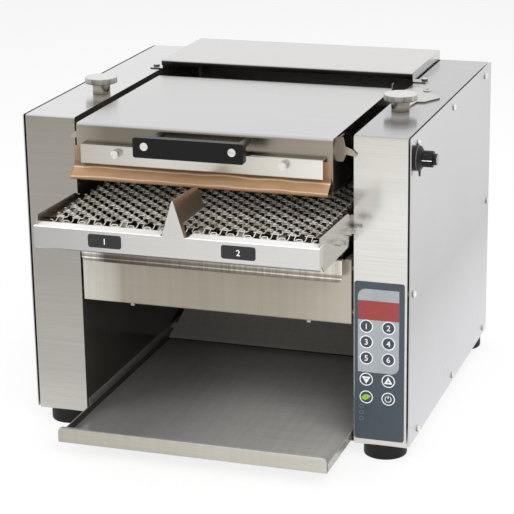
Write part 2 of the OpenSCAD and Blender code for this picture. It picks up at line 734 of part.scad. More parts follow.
module motor_sprocket() color("silver") {
    along_x(-sprocket_x - sprocket_t / 2, -sprocket_x + sprocket_t / 2) translate([drive_y, motor_z])
        toothed(22, 26, 12);
    rod_x(-sprocket_x - 4, -sprocket_x + 6, drive_y, motor_z, 16);
    rod_x(-sprocket_x - 5, -bay - sheet - 20, drive_y, motor_z, 8);
}

module gear_motor() color("dimgray") difference() {
    box_x = -bay - sheet - 23;
    union() {
        along_x(box_x, -bay - sheet) rrect(drive_y - 35, motor_z - 30, drive_y + 35, motor_z + 30, 6);
        rod_z(motor_z - 120, motor_z - 30, -mid_tower + 14, drive_y, 50);
    }
    rod_x(box_x - 1, -bay - sheet - 19, drive_y, motor_z, 8 + 2 * fit);
}

// ---- Trays ----
module crumb_tray() color("silver") {
    half = crumb_w / 2;
    lip_top = crumb_z + crumb_rise;
    intersection() {
        along_x(-half, half) bent([[crumb_front + 6, lip_top - crumb_lip], [crumb_front, lip_top - crumb_lip],
            [crumb_front, lip_top], [crumb_front + 8, crumb_z], [drive_y, crumb_z],
            [drive_y, crumb_z + 14]], 2, sheet);
        along_y(crumb_front - 10, drive_y + 10) rrect(-half, lip_top - crumb_lip, half, lip_top + 40, 8);
    }
    both_sides() along_x(half - 4 - sheet, half - 4) translate([crumb_front + 12, crumb_z])
        square([drive_y - crumb_front - 12 - sheet, 14]);
}

module tray_rails() color("gray") both_sides() along_y(30, drive_y + 4)
    bent([[bay, crumb_z - gap - 20], [bay, crumb_z - gap], [crumb_w / 2 - 12, crumb_z - gap]], 2, sheet);

module discharge_tray() color("silver") {
    half = tray_w / 2;
    back = chute_y + chute_lead - 3;
    lip_top = tray_z + tray_lip;
    difference() {
        union() {
            intersection() {
                along_x(-half, half) bent([[-tray_reach + 6, lip_top], [-tray_reach, lip_top],
                    [-tray_reach, tray_z], [back, tray_z]], 2, sheet);
                along_y(-tray_reach - 1, back) union() {
                    rrect(-half, tray_z - 1, half, lip_top, 7);
                    translate([-half, tray_z - 1]) square([2 * half, 10]);
                }
            }
            both_sides() along_x(half - sheet, half) translate([-tray_reach + 8, tray_z])
                square([back + tray_reach - 8, 13]);
        }
        translate([half - 8, -tray_reach + 2, tray_z + sheet]) cube([9, 5, tray_lip]);
    }
}

function arc_points(c, r, a0, a1, n) = [for (i = [0:n]) let (a = a0 + (a1 - a0) * i / n)
    c + r * [sin(a), -cos(a)]];
module return_chute() color("darkgray") {
    half = bay - 6;
    small_r = chute_small_r;
    c1 = [chute_y, chute_z + chute_r];
    c2 = c1 + (chute_r - small_r) * [sin(chute_knee), -cos(chute_knee)];
    start = asin(chute_lead / chute_r);
    path = concat(arc_points(c1, chute_r, start, chute_knee, 10),
        arc_points(c2, small_r, chute_knee + 6, 90, 8), [[c2[0] + small_r, shaft_z - 30]]);
    along_x(-half, half) polygon(concat(path, backwards(beside(path, -sheet))));
    both_sides() {
        for (z = [c2[1], shaft_z - 60]) translate([half, c2[0] + small_r - 1, z])
            cube([bay - half, sheet + 1, 24]);
        translate([half, path[2][0] - 8, path[2][1] - sheet - 2.6]) rotate([15, 0, 0])
            cube([bay - sheet - half, 14, sheet]);
    }
}

module lower_element() color("dimgray") for (y = element_y)
    rod_x(-bay - 14, bay + 14, y, element_z, element_d);

// ---- Controls ----
function key_place(i) = [key_x[i % 2], keypad_low + key_rows[floor(i / 2)]];

module keypad_panel() color("slategray") {
    x0 = keypad_mid - keypad_w / 2;
    difference() {
        along_y(-keypad_t, 0) rrect(x0, keypad_low, x0 + keypad_w, keypad_low + keypad_h, 4);
        for (i = [0:9]) rod_y(-keypad_t - 1, 1, key_place(i)[0], key_place(i)[1], key_d + 2 * gap);
        along_y(-keypad_t - 1, -keypad_t / 2) rrect(x0 + 6, keypad_low + 191, x0 + 68, keypad_low + 221, 3);
    }
    along_y(-keypad_t + 0.2, -keypad_t / 2) rrect(x0 + 6, keypad_low + 191, x0 + 68, keypad_low + 221, 3);
    for (i = [0:2]) rod_y(-keypad_t - 0.6, -keypad_t, x0 + 11, keypad_low + 52.5 - i * 9.75, 4);
}

module key(i) color(i < 6 ? "steelblue" : "slategray")
    rod_y(-keypad_t - 0.6, -key_travel - 0.15, key_place(i)[0], key_place(i)[1], key_d);

module dial_bezel() color("black") difference() {
    x = panel_x + sheet;
    rod_x(x, x + bezel_t, dial_y, dial_z, dial_d);
    rod_x(x - 1, x + bezel_t + 1, dial_y, dial_z, 8 + 2 * fit);
}

module side_dial() color("black") {
    x = panel_x + sheet + bezel_t + gap;
    end = panel_x + sheet + dial_h;
    rod_x(half_w - 12, x + 1, dial_y, dial_z, 8);
    translate([x, dial_y, dial_z]) rotate([0, 90, 0]) rotate_extrude()
        polygon([[0, 0], [dial_d / 2, 0], [dial_d / 2, 2.5], [dial_body_d / 2, 7], [0, 7]]);
    along_x(x + 6, end - 5.5) translate([dial_y, dial_z]) difference() {
        circle(d = dial_body_d);
        for (i = [0:11]) rotate(i * 30) translate([dial_body_d / 2 + 0.9, 0]) circle(d = 4, $fn = 16);
    }
    rod_x(end - 5.5, end, dial_y, dial_z, dial_body_d * 0.7);
    along_x(x, x + 2.5) translate([dial_y, dial_z])
        polygon([[-3.5, -dial_d / 2 + 1], [3.5, -dial_d / 2 + 1], [0, -dial_d / 2 - 8.5]]);
}

module control_board() color("darkgreen") {
    x = bay + sheet;
    translate([x + 6, 100, low_z + 60]) cube([1.6, 140, 180]);
    for (y = [106, 234], z = [low_z + 66, low_z + 234]) rod_x(x, x + 6, y, z, 6);
    translate([x + 7.6, 115, low_z + 75]) cube([30, 45, 40]);
    for (i = [0:2]) translate([x + 7.6, 125 + i * 28, low_z + 150]) cube([16, 20, 28]);
}

module fan_frame() color("black") difference() {
    union() {
        along_y(body_d - sheet - 25, body_d - sheet) difference() {
            translate([mid_tower - fan_size / 2, fan_z - fan_size / 2]) square(fan_size);
            translate([mid_tower, fan_z]) circle(d = fan_size - 4);
        }
        along_y(body_d - sheet - 6, body_d - sheet - 3) for (a = [45, 135]) translate([mid_tower, fan_z])
            rotate(a) square([fan_size + 4, 4], center = true);
        rod_y(body_d - sheet - 6, body_d - sheet - 2, mid_tower, fan_z, 24);
    }
    rod_y(body_d - sheet - 7, body_d - sheet - 1, mid_tower, fan_z, 3 + 2 * fit);
}

module fan_rotor() color("black") {
    rod_y(body_d - sheet - 24, body_d - sheet - 6 - gap, mid_tower, fan_z, 24);
    rod_y(body_d - sheet - 10, body_d - sheet - 3, mid_tower, fan_z, 3);
    for (i = [0:6]) translate([mid_tower, body_d - sheet - 15, fan_z]) rotate([0, i * 360 / 7, 0])
        rotate([0, 0, 35]) translate([-6, -0.6, 10]) cube([12, 1.2, 16]);
}

module cord_gland() color("black") difference() {
    union() {
        rod_y(body_d - sheet - 6, body_d + rear_reach, mid_tower, gland_z, 20 - 2 * fit);
        translate([mid_tower, body_d + 6, gland_z]) rotate([90, 0, 0]) cylinder(h = 6, d = 28, $fn = 6);
        translate([mid_tower, body_d - sheet, gland_z]) rotate([90, 0, 0]) cylinder(h = 5, d = 28, $fn = 6);
    }
    rod_y(body_d - 10, body_d + rear_reach + 1, mid_tower, gland_z, 9);
}

place() tower_left();
place() tower_right();
place() side_panel_left();
place() side_panel_right();
place() panel_screws();
place() base_pan();
place() rear_panel();
place() rear_cover();
place() lower_front_panel();
place() feet();
place() head_housing();
place() clamp_bar();
place() clamp_screw(-clamp_span / 2);  // clamp_screw_left
place() clamp_screw(clamp_span / 2);  // clamp_screw_right
place() handle_bar();
place() handle_posts();
place() handle_screws();
place() release_sheet();
place() platen();
place() upper_element();
place() height_pointers();
place() lift_frame();
place() adjust_knob(-knob_x);  // adjust_knob_left
place() adjust_knob(knob_x);  // adjust_knob_right
place() lock_plate();
place() lock_screw();
place() infeed_front();
place() infeed_side_left();
place() infeed_side_right();
place() infeed_bolts();
place() wire_belt();
place() drive_shaft();
place() idler_shaft();
place() shaft_bearings();
place() lane_divider();
place() crumb_tray();
place() tray_rails();
place() discharge_tray();
place() return_chute();
place() lower_element();
place() gear_motor();
place() motor_sprocket();
place() drive_chain();
place() keypad_panel();
place() key(0);  // key_1
place() key(1);  // key_2
place() key(2);  // key_3
place() key(3);  // key_4
place() key(4);  // key_5
place() key(5);  // key_6
place() key(6);  // key_down
place() key(7);  // key_up
place() key(8);  // key_eco
place() key(9);  // key_power
place() dial_bezel();
place() side_dial();
place() control_board();
place() fan_frame();
place() fan_rotor();
place() cord_gland();
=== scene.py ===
import logging
import math
from dataclasses import dataclass
from enum import Enum
from typing import Iterable, Sequence

import bpy
import numpy as np
from mathutils import Matrix, Vector


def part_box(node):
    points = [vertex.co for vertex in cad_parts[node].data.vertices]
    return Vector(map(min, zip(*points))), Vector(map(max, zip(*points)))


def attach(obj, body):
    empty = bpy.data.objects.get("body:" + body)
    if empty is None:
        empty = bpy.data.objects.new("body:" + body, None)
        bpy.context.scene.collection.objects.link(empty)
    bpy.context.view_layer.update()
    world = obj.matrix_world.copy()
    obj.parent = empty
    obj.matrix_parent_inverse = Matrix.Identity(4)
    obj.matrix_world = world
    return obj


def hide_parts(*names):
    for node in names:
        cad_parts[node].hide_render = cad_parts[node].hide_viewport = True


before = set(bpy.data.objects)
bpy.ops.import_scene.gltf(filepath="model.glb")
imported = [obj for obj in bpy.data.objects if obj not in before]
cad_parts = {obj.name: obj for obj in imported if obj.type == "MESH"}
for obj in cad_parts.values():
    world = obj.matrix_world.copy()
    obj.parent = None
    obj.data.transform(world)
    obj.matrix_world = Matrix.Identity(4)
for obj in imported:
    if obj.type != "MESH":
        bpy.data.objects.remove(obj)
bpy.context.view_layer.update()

LOG = logging.getLogger("toaster")
MM = 0.001
WHITE = (1.0, 1.0, 1.0, 1.0)

# The size of the printed numbers in millimetres, and the share of it by which their strokes are widened.
TYPE_SIZE = 12.5
TYPE_SWELL = 0.008

Material = bpy.types.Material
Socket = bpy.types.NodeSocket
Value = Socket | float | Sequence[float]
Colour = tuple[float, float, float]
Point2 = tuple[float, float]
Point3 = tuple[float, float, float]
Shape = tuple[np.ndarray, list[list[int]]]

# What lies on the finishes: a wipe mark in the gloss, painted a little lighter as a sheen, and dust.
SMEAR_AND_SHEEN: Colour = (255, 252, 246)
DUST: Colour = (176, 170, 160)


class Axis(Enum):
    """Directions of the machine."""

    X = (1.0, 0.0, 0.0)
    Y = (0.0, 1.0, 0.0)
    Z = (0.0, 0.0, 1.0)


class Edge(Enum):
    """How a piece is shaded between its faces."""

    SHARP = False
    SMOOTH = True


@dataclass(frozen=True)
class Datum:
    """The machine's origin in the row frame, in metres."""

    x: float
    y: float

    @classmethod
    def of_frame(cls) -> "Datum":
        """Reads the middle plane and the towers' fronts from the boxes of the two towers."""
        left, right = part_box("tower_left"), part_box("tower_right")
        return cls((left[0].x + right[1].x) / 2, left[0].y)

    def place(self, points: np.ndarray) -> np.ndarray:
        """Moves machine millimetres to row metres: each point times 0.001, plus the origin."""
        return np.asarray(points, float) * MM + np.array([self.x, self.y, 0.0])

    def along(self, axis: Axis, value: float) -> float:
        """One machine coordinate in millimetres as a row coordinate in metres."""
        return value * MM + {Axis.X: self.x, Axis.Y: self.y, Axis.Z: 0.0}[axis]

    def box(self, node: str) -> np.ndarray:
        """A CAD node's lowest and highest corners in machine millimetres: each corner less the origin."""
        corners = np.array([tuple(corner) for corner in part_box(node)])
        return (corners - np.array([self.x, self.y, 0.0])) / MM


DATUM = Datum.of_frame()


# ---- Making meshes ----
def quad_grid(rows: int, cols: int, closed: bool = False) -> np.ndarray:
    """Quads of a grid of points, where the point at (r, c) is number r * cols + c.

    Args:
        rows, cols: points along the two directions.
        closed: joins the last column to the first.

    Returns:
        An array of shape (n, 4).
    """
    r = np.arange(rows - 1)[:, None]
    c = np.arange(cols if closed else cols - 1)[None, :]
    d = (c + 1) % cols
    return np.stack([r * cols + c, r * cols + d, (r + 1) * cols + d, (r + 1) * cols + c], -1).reshape(-1, 4)


def add_piece(name: str, shape: Shape, body: str, material: Material,
              edge: Edge = Edge.SMOOTH, stands_for: Sequence[str] = ()) -> bpy.types.Object:
    """Puts a surface in the scene as one piece that rides on a CAD body.

    Args:
        name: the piece's name.
        shape: points in machine millimetres and faces, whose outward side is anticlockwise.
        body: the CAD body that carries it.
        material: its finish.
        edge: smooth or sharp shading.
        stands_for: the CAD nodes that it replaces.

    Returns:
        The new object, at the origin with its place in its mesh.
    """
    points, faces = shape
    mesh = bpy.data.meshes.new(name)
    mesh.from_pydata(DATUM.place(points).reshape(-1, 3).tolist(), [], faces)
    mesh.polygons.foreach_set("use_smooth", np.full(len(mesh.polygons), edge.value))
    mesh.materials.append(material)
    mesh.update()
    piece = bpy.data.objects.new(name, mesh)
    bpy.context.scene.collection.objects.link(piece)
    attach(piece, body)
    if stands_for:
        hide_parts(*stands_for)
    LOG.info("%s: %d points, %d faces, on %s", name, len(mesh.vertices), len(mesh.polygons), body)
    return piece


def outline_of(curve: bpy.types.Curve) -> Shape:
    """Takes the mesh of a flat, filled and extruded curve or text, and drops the curve.

    Args:
        curve: the curve, in millimetres.

    Returns:
        Its points and faces.
    """
    holder = bpy.data.objects.new(curve.name, curve)
    bpy.context.scene.collection.objects.link(holder)
    graph = bpy.context.evaluated_depsgraph_get()
    graph.update()
    mesh = bpy.data.meshes.new_from_object(holder.evaluated_get(graph))
    points = np.empty(len(mesh.vertices) * 3)
    mesh.vertices.foreach_get("co", points)
    faces = [list(p.vertices) for p in mesh.polygons]
    bpy.data.objects.remove(holder)
    bpy.data.meshes.remove(mesh)
    return points.reshape(-1, 3), faces


def sheet_outline(loops: Iterable[np.ndarray], thickness: float) -> Shape:
    """A flat plate cut along closed loops, where a loop inside another is a hole.

    Args:
        loops: arrays of shape (n, 2) in millimetres.
        thickness: the plate's thickness.

    Returns:
        Points whose third coordinate is minus to plus half the thickness, and faces.
    """
    curve = bpy.data.curves.new("outline", "CURVE")
    curve.dimensions = "2D"
    curve.fill_mode = "BOTH"
    curve.extrude = thickness / 2
    for loop in loops:
        line = curve.splines.new("POLY")
        line.points.add(len(loop) - 1)
        line.points.foreach_set("co", np.c_[loop, np.zeros(len(loop)), np.ones(len(loop))].ravel())
        line.use_cyclic_u = True
    return outline_of(curve)


def text_outline(words: str, thickness: float, height: float = TYPE_SIZE) -> Shape:
    """A plain number as a plate, centred on its own middle.

    Args:
        words: the number.
        thickness: the plate's thickness.
        height: the size of the type.

    Returns:
        Points and faces, laid out as a flat plate's are.
    """
    curve = bpy.data.curves.new("digits", "FONT")
    curve.body = words
    curve.size = height
    curve.extrude = thickness / 2
    curve.offset = height * TYPE_SWELL
    points, faces = outline_of(curve)
    points[:, :2] -= (points[:, :2].min(0) + points[:, :2].max(0)) / 2
    return points, faces


def facing_front(shape: Shape, x: float, y: float, z: float) -> Shape:
    """Stands a flat plate up facing the front: its x stays x, its y becomes z, its back lies at y."""
    points, faces = shape
    return np.c_[x + points[:, 0], y - points[:, 2].max() - points[:, 2], z + points[:, 1]], faces


def facing_right(shape: Shape, x: float, y: float, z: float) -> Shape:
    """Stands a flat plate up facing right: its x becomes y, its y becomes z, its middle lies at x."""
    points, faces = shape
    return np.c_[x + points[:, 2], y + points[:, 0], z + points[:, 1]], faces


def circle(x: float, z: float, radius: float, count: int = 48) -> np.ndarray:
    """Points of a circle: the centre plus the radius times cosine and sine."""
    a = np.linspace(0, 2 * math.pi, count, endpoint=False)
    return np.c_[x + radius * np.cos(a), z + radius * np.sin(a)]


def round_box(x0: float, z0: float, x1: float, z1: float, radii: Sequence[float] | float) -> np.ndarray:
    """A rectangle whose corners are quarter circles, anticlockwise from the lower left.

    Args:
        x0, z0, x1, z1: two opposite corners.
        radii: one radius, or those at the lower left, lower right, upper right and upper left.

    Returns:
        Array of shape (n, 2): each corner's centre plus its radius times cosine and sine.
    """
    a = np.linspace(0, math.pi / 2, 8)
    ends = ((x0, z0, 1, 1, 2), (x1, z0, -1, 1, 3), (x1, z1, -1, -1, 0), (x0, z1, 1, -1, 1))
    corners = []
    for (x, z, sx, sz, quarter), r in zip(ends, np.broadcast_to(radii, 4)):
        at = a + quarter * math.pi / 2
        corners.append(np.c_[x + sx * r + r * np.cos(at), z + sz * r + r * np.sin(at)])
    return np.concatenate(corners)


def round_edges(piece: bpy.types.Object, width: float, segments: int, clamp: bool = True) -> None:
    """Bevels a piece's sharp edges.

    Args:
        piece: the piece.
        width: the bevel's width in millimetres.
        segments: the steps of its rounding.
        clamp: stops a bevel where it would meet the next one.
    """
    bevel = piece.modifiers.new("rim", "BEVEL")
    bevel.width = width * MM
    bevel.segments = segments
    bevel.limit_method = "ANGLE"
    bevel.use_clamp_overlap = clamp


# ---- Making materials ----
def linear(rgb: Colour) -> tuple[float, float, float, float]:
    """An 8-bit display colour as linear light: a straight line near black, the power 2.4 above."""
    c = np.asarray(rgb, float) / 255
    return (*np.where(c <= 0.04045, c / 12.92, ((c + 0.055) / 1.055) ** 2.4).tolist(), 1.0)


class Tree:
    """Short calls that add and join the nodes of one node tree."""

    def __init__(self, tree: bpy.types.NodeTree) -> None:
        """Keeps the tree and clears it."""
        self.tree = tree
        tree.nodes.clear()

    def add(self, kind: str, settings: dict | None = None, **inputs: Value) -> bpy.types.Node:
        """Adds a node.

        Args:
            kind: the node's type, without "ShaderNode".
            settings: its properties.
            inputs: its inputs by name, with underscores for spaces; each is a value or another node's output.

        Returns:
            The new node.
        """
        node = self.tree.nodes.new(kind if kind.startswith("Node") else "ShaderNode" + kind)
        for key, value in (settings or {}).items():
            setattr(node, key, value)
        for key, value in inputs.items():
            self.join(node.inputs[key.replace("_", " ")], value)
        return node

    def join(self, socket: Socket, value: Value) -> None:
        """Links an input to another node's output, or sets its value.

        Args:
            socket: the input.
            value: an output or a plain value.
        """
        if isinstance(value, Socket):
            self.tree.links.new(value, socket)
        else:
            socket.default_value = value

    def group(self, tree: bpy.types.NodeTree, **inputs: Value) -> bpy.types.NodeOutputs:
        """Places a shared group with its own values and returns its outputs."""
        return self.add("Group", {"node_tree": tree}, **inputs).outputs

    def place(self) -> Socket:
        """The point that is shaded, in the object's own frame."""
        return self.add("TexCoord").outputs["Object"]

    def noise(self, scale: Value, detail: Value, at: Value | None = None, roughness: float = 0.5) -> Socket:
        """Noise of so many blobs per metre, read at the point that is shaded unless ``at`` says where."""
        at = self.place() if at is None else at
        return self.add("TexNoise", Vector=at, Scale=scale, Detail=detail, Roughness=roughness).outputs[0]

    def math(self, operation: str, a: Value, b: Value = 0.0, kind: str = "Math") -> Socket:
        """Works out one operation.

        Args:
            operation: the node's operation.
            a, b: two values, or two vectors.
            kind: Math for values, VectorMath for vectors.

        Returns:
            The result.
        """
        node = self.add(kind, {"operation": operation})
        self.join(node.inputs[0], a)
        self.join(node.inputs[1], b)
        return node.outputs["Value" if operation == "DOT_PRODUCT" else 0]

    def span(self, value: Value, low: Value = 0.0, high: Value = 1.0, start: Value = 0.0,
             end: Value = 1.0, kind: str = "LINEAR") -> Socket:
        """Carries a value from the range between start and end to the one between low and high."""
        return self.add("MapRange", {"interpolation_type": kind}, Value=value, From_Min=start, From_Max=end,
                        To_Min=low, To_Max=high).outputs[0]

    def mix(self, factor: Value, a: Value, b: Value, blend: str = "MIX") -> Socket:
        """Mixes two colours.

        Args:
            factor: share of b, from 0 to 1.
            a, b: 8-bit colours or other nodes' outputs.
            blend: how b lies on a.

        Returns:
            The mixed colour.
        """
        node = self.add("Mix", {"data_type": "RGBA", "blend_type": blend})
        self.join(node.inputs[0], factor)
        for socket, value in ((node.inputs[6], a), (node.inputs[7], b)):
            self.join(socket, value if isinstance(value, Socket) else linear(value))
        return node.outputs[2]

    def times(self, colour: Value, tone: Value) -> Socket:
        """The colour multiplied by a tone."""
        return self.mix(1.0, colour, tone, "MULTIPLY")

    def ramp(self, factor: Value, stops: Sequence[tuple[float, Colour]]) -> Socket:
        """Adds a colour ramp.

        Args:
            factor: where the ramp is read, from 0 to 1.
            stops: positions from 0 to 1 with their 8-bit colours.

        Returns:
            The colour at the factor.
        """
        node = self.add("ValToRGB")
        line = node.color_ramp.elements
        while len(line) > 1:
            line.remove(line[-1])
        line[0].position, line[0].color = stops[0][0], linear(stops[0][1])
        for position, colour in stops[1:]:
            line.new(position).color = linear(colour)
        self.join(node.inputs[0], factor)
        return node.outputs[0]

    def seen(self) -> Socket:
        """Tells the rays that show a surface from soft light.

        Returns:
            One for rays from the camera, a reflection or a clear body, zero for soft light.
        """
        rays = self.add("LightPath").outputs
        mirrored = self.math("MAXIMUM", rays["Is Glossy Ray"], rays["Is Transmission Ray"])
        return self.math("MAXIMUM", rays["Is Camera Ray"], mirrored)


class GroupTree(Tree):
    """A shared node group whose outputs are masks, tones and heights."""

    def __init__(self, name: str, inputs: dict[str, float | Point3], outputs: Iterable[str]) -> None:
        """Makes the group.

        Args:
            name: the group's name.
            inputs: its inputs by name, each with its first value, a float or a vector.
            outputs: the names of its outputs.
        """
        super().__init__(bpy.data.node_groups.new(name, "ShaderNodeTree"))
        face = self.tree.interface
        for key, value in inputs.items():
            kind = "NodeSocketVector" if isinstance(value, tuple) else "NodeSocketFloat"
            face.new_socket(key, in_out="INPUT", socket_type=kind).default_value = value
        for key in outputs:
            face.new_socket(key, in_out="OUTPUT", socket_type="NodeSocketFloat")
        self.given = self.add("NodeGroupInput").outputs
        self.out = self.add("NodeGroupOutput").inputs


class Effects:
    """The shared node groups."""

    def __init__(self) -> None:
        """Builds each group once."""
        self.sweep = self._sweep()
        self.faces = self._faces()
        self.grain = self._grain()
        self.marks = self._marks()

    def _sweep(self) -> bpy.types.NodeTree:
        """How far a point lies from Low to High along Direction.

        Returns:
            The group, whose Share runs from 0 to 1.
        """
        made = GroupTree("sweep", {"Direction": (0.0, 0.0, 1.0), "Low": 0.0, "High": 1.0}, ["Share"])
        where = made.math("DOT_PRODUCT", made.place(), made.given["Direction"], "VectorMath")
        made.join(made.out["Share"], made.span(where, start=made.given["Low"], end=made.given["High"]))
        return made.tree

    def _faces(self) -> bpy.types.NodeTree:
        """Masks of the faces that look each way, from the mesh's own normal.

        Returns:
            The group, with one mask for each way.
        """
        none, full = 0.35, 0.85
        ways = {"Up": ("Z", 1), "Down": ("Z", -1), "Left": ("X", -1), "Right": ("X", 1),
                "Front": ("Y", -1), "Back": ("Y", 1)}
        made = GroupTree("faces", {}, ways)
        parts = made.add("SeparateXYZ", Vector=made.add("TexCoord").outputs["Normal"]).outputs
        for key, (axis, sign) in ways.items():
            mask = made.span(parts[axis], start=none * sign, end=full * sign, kind="SMOOTHSTEP")
            made.join(made.out[key], mask)
        return made.tree

    def _grain(self) -> bpy.types.NodeTree:
        """Brush lines: noise with so many Lines per metre along each axis.

        Returns:
            The group, whose Tone strays from 1 by the Contrast and whose Height is the noise itself.
        """
        made = GroupTree("grain", {"Lines": (900.0, 900.0, 12.0), "Contrast": 0.03}, ["Tone", "Height"])
        stretched = made.math("MULTIPLY", made.place(), made.given["Lines"], "VectorMath")
        noise = made.noise(scale=1.0, detail=3.0, at=stretched, roughness=0.65)
        low = made.math("SUBTRACT", 1.0, made.given["Contrast"])
        high = made.math("ADD", 1.0, made.given["Contrast"])
        made.join(made.out["Tone"], made.span(noise, low, high, start=0.3, end=0.7))
        made.join(made.out["Height"], noise)
        return made.tree

    def _marks(self) -> bpy.types.NodeTree:
        """Cloudy wipe marks and spots: noise of Scale per metre, cut at Level with a soft edge.

        Returns:
            The group, whose Mask is one inside a mark.
        """
        values = {"Scale": 12.0, "Level": 0.5, "Softness": 0.2, "Detail": 4.0}
        made = GroupTree("marks", values, ["Mask"])
        noise = made.noise(made.given["Scale"], made.given["Detail"], roughness=0.6)
        low = made.math("SUBTRACT", made.given["Level"], made.given["Softness"])
        high = made.math("ADD", made.given["Level"], made.given["Softness"])
        made.join(made.out["Mask"], made.span(noise, start=low, end=high, kind="SMOOTHSTEP"))
        return made.tree


EFFECTS = Effects()


class Finish(Tree):
    """The node tree of one material with its Principled BSDF."""

    def __init__(self, name: str) -> None:
        """Makes the material and joins its shader to its output.

        Args:
            name: the material's name.
        """
        self.material = bpy.data.materials.new(name)
        self.material.use_nodes = True
        super().__init__(self.material.node_tree)
        self.shader = self.add("BsdfPrincipled")
        self.add("OutputMaterial", Surface=self.shader.outputs[0])

    def marks(self, scale: float, level: float, softness: float, detail: float = 4.0) -> Socket:
        """The mask of the shared marks."""
        return self.group(EFFECTS.marks, Scale=scale, Level=level, Softness=softness, Detail=detail)[0]

    def bump(self, height: Socket, strength: float, distance: float = 0.0001) -> Socket:
        """The normal of a skin with this height."""
        return self.add("Bump", Height=height, Strength=strength, Distance=distance).outputs[0]

    def wear(self, **inputs: Value) -> Material:
        """Gives the shader its inputs.

        Args:
            inputs: each by name, with underscores for spaces.

        Returns:
            The finished material.
        """
        for key, value in inputs.items():
            self.join(self.shader.inputs[key.replace("_", " ")], value)
        return self.material


@dataclass(frozen=True)
class Tones:
    """Colours at places along one axis of the machine, in machine millimetres."""

    axis: Axis
    stops: tuple[tuple[float, Colour], ...]

    @classmethod
    def of(cls, given: "Tones | Colour") -> "Tones":
        """Takes tones as they are, or spreads one colour all over.

        Args:
            given: tones, or one colour.

        Returns:
            Tones; a single colour lifts very slightly towards the machine's top.
        """
        top, lift = 530.0, 1.02
        if isinstance(given, cls):
            return given
        return cls(Axis.Z, ((0.0, given), (top, tuple(min(255.0, c * lift) for c in given))))

    def colour(self, tree: Tree, wobble: float = 0.0) -> Socket:
        """The colour at each point: the stops, joined by straight lines along the axis.

        Args:
            tree: where the nodes go.
            wobble: how far noise moves the stops, in millimetres.

        Returns:
            The colour.
        """
        first, last = self.stops[0][0], self.stops[-1][0]
        share = tree.group(EFFECTS.sweep, Direction=self.axis.value, Low=DATUM.along(self.axis, first),
                           High=DATUM.along(self.axis, last))[0]
        if wobble:
            shift = tree.math("SUBTRACT", tree.noise(scale=24.0, detail=1.0), 0.5)
            share = tree.math("ADD", share, tree.math("MULTIPLY", shift, 2 * wobble / (last - first)))
        return tree.ramp(share, [((place - first) / (last - first), colour) for place, colour in self.stops])


def graded(axis: Axis, *rows: tuple[float, float, float, float], start: float = 0.0) -> Tones:
    """Tones from rows of a place in millimetres, counted from the start, and its red, green and blue."""
    return Tones(axis, tuple((start + row[0], row[1:]) for row in rows))


@dataclass(frozen=True)
class BrushedSteel:
    """Brushed stainless sheet whose tones, by place on the machine and by the way a face looks, are painted
    light, shade and reflections.
    """

    name: str
    front: Tones | Colour
    grain: Axis = Axis.X
    up: Tones | Colour | None = None
    right: Tones | Colour | None = None
    left: Tones | Colour | None = None
    back: Tones | Colour | None = None
    rough: float = 0.24
    contrast: float = 0.03
    marks: float = 0.04
    metal: float = 1.0
    metal_at: tuple[str, float] | None = None
    tint: Tones | None = None
    streaks: float = 0.0
    stain: Colour | None = None

    def material(self) -> Material:
        """Builds the finish: tones by face as painted light and shade, brush lines across them, wipe marks in
        the gloss painted a little lighter as a sheen, then any stain.

        ``tint`` multiplies the tones along a second axis, ``streaks`` adds soft upright bands of painted
        sheen, and
        ``metal_at`` is one way of facing with its own metal share.

        Returns:
            The material.
        """
        tree = Finish(self.name)
        masks = tree.group(EFFECTS.faces)
        # Painted light, shade and reflections: tones along the machine, then lit and shaded copies for faces
        # that look other ways.
        colour = Tones.of(self.front).colour(tree)
        for key, tones in (("Left", self.left), ("Right", self.right), ("Back", self.back), ("Up", self.up)):
            if tones is not None:
                colour = tree.mix(masks[key], colour, Tones.of(tones).colour(tree))
        along, across = 5.0, 380.0
        lines = tuple(along if part else across for part in self.grain.value)
        grain = tree.group(EFFECTS.grain, Lines=lines, Contrast=self.contrast)
        colour = tree.times(colour, grain["Tone"])
        if self.tint is not None:
            colour = tree.times(colour, self.tint.colour(tree))
        # Soft upright bands of painted sheen that stand for reflections.
        if self.streaks:
            upright = tree.group(EFFECTS.grain, Lines=(90.0, 6.0, 4.0), Contrast=self.streaks)
            colour = tree.times(colour, upright["Tone"])
        # Wipe marks vary the roughness, and the colour is painted a little lighter there as a sheen.
        wipe_and_sheen = tree.marks(scale=6.0, level=0.5, softness=0.4, detail=1.0)
        colour = tree.mix(tree.math("MULTIPLY", wipe_and_sheen, self.marks), colour, SMEAR_AND_SHEEN)
        if self.stain is not None:
            thickest = 0.7
            spots = tree.math("MULTIPLY", tree.marks(scale=38.0, level=0.56, softness=0.07), masks["Up"])
            colour = tree.mix(tree.math("MULTIPLY", spots, thickest), colour, self.stain)
        metal = self.metal
        if self.metal_at is not None:
            metal = tree.span(masks[self.metal_at[0]], self.metal, self.metal_at[1])
        return tree.wear(Base_Color=colour, Roughness=tree.span(wipe_and_sheen, self.rough - 0.03, self.rough + 0.04),
                         Normal=tree.bump(grain["Height"], 0.05), Metallic=metal)


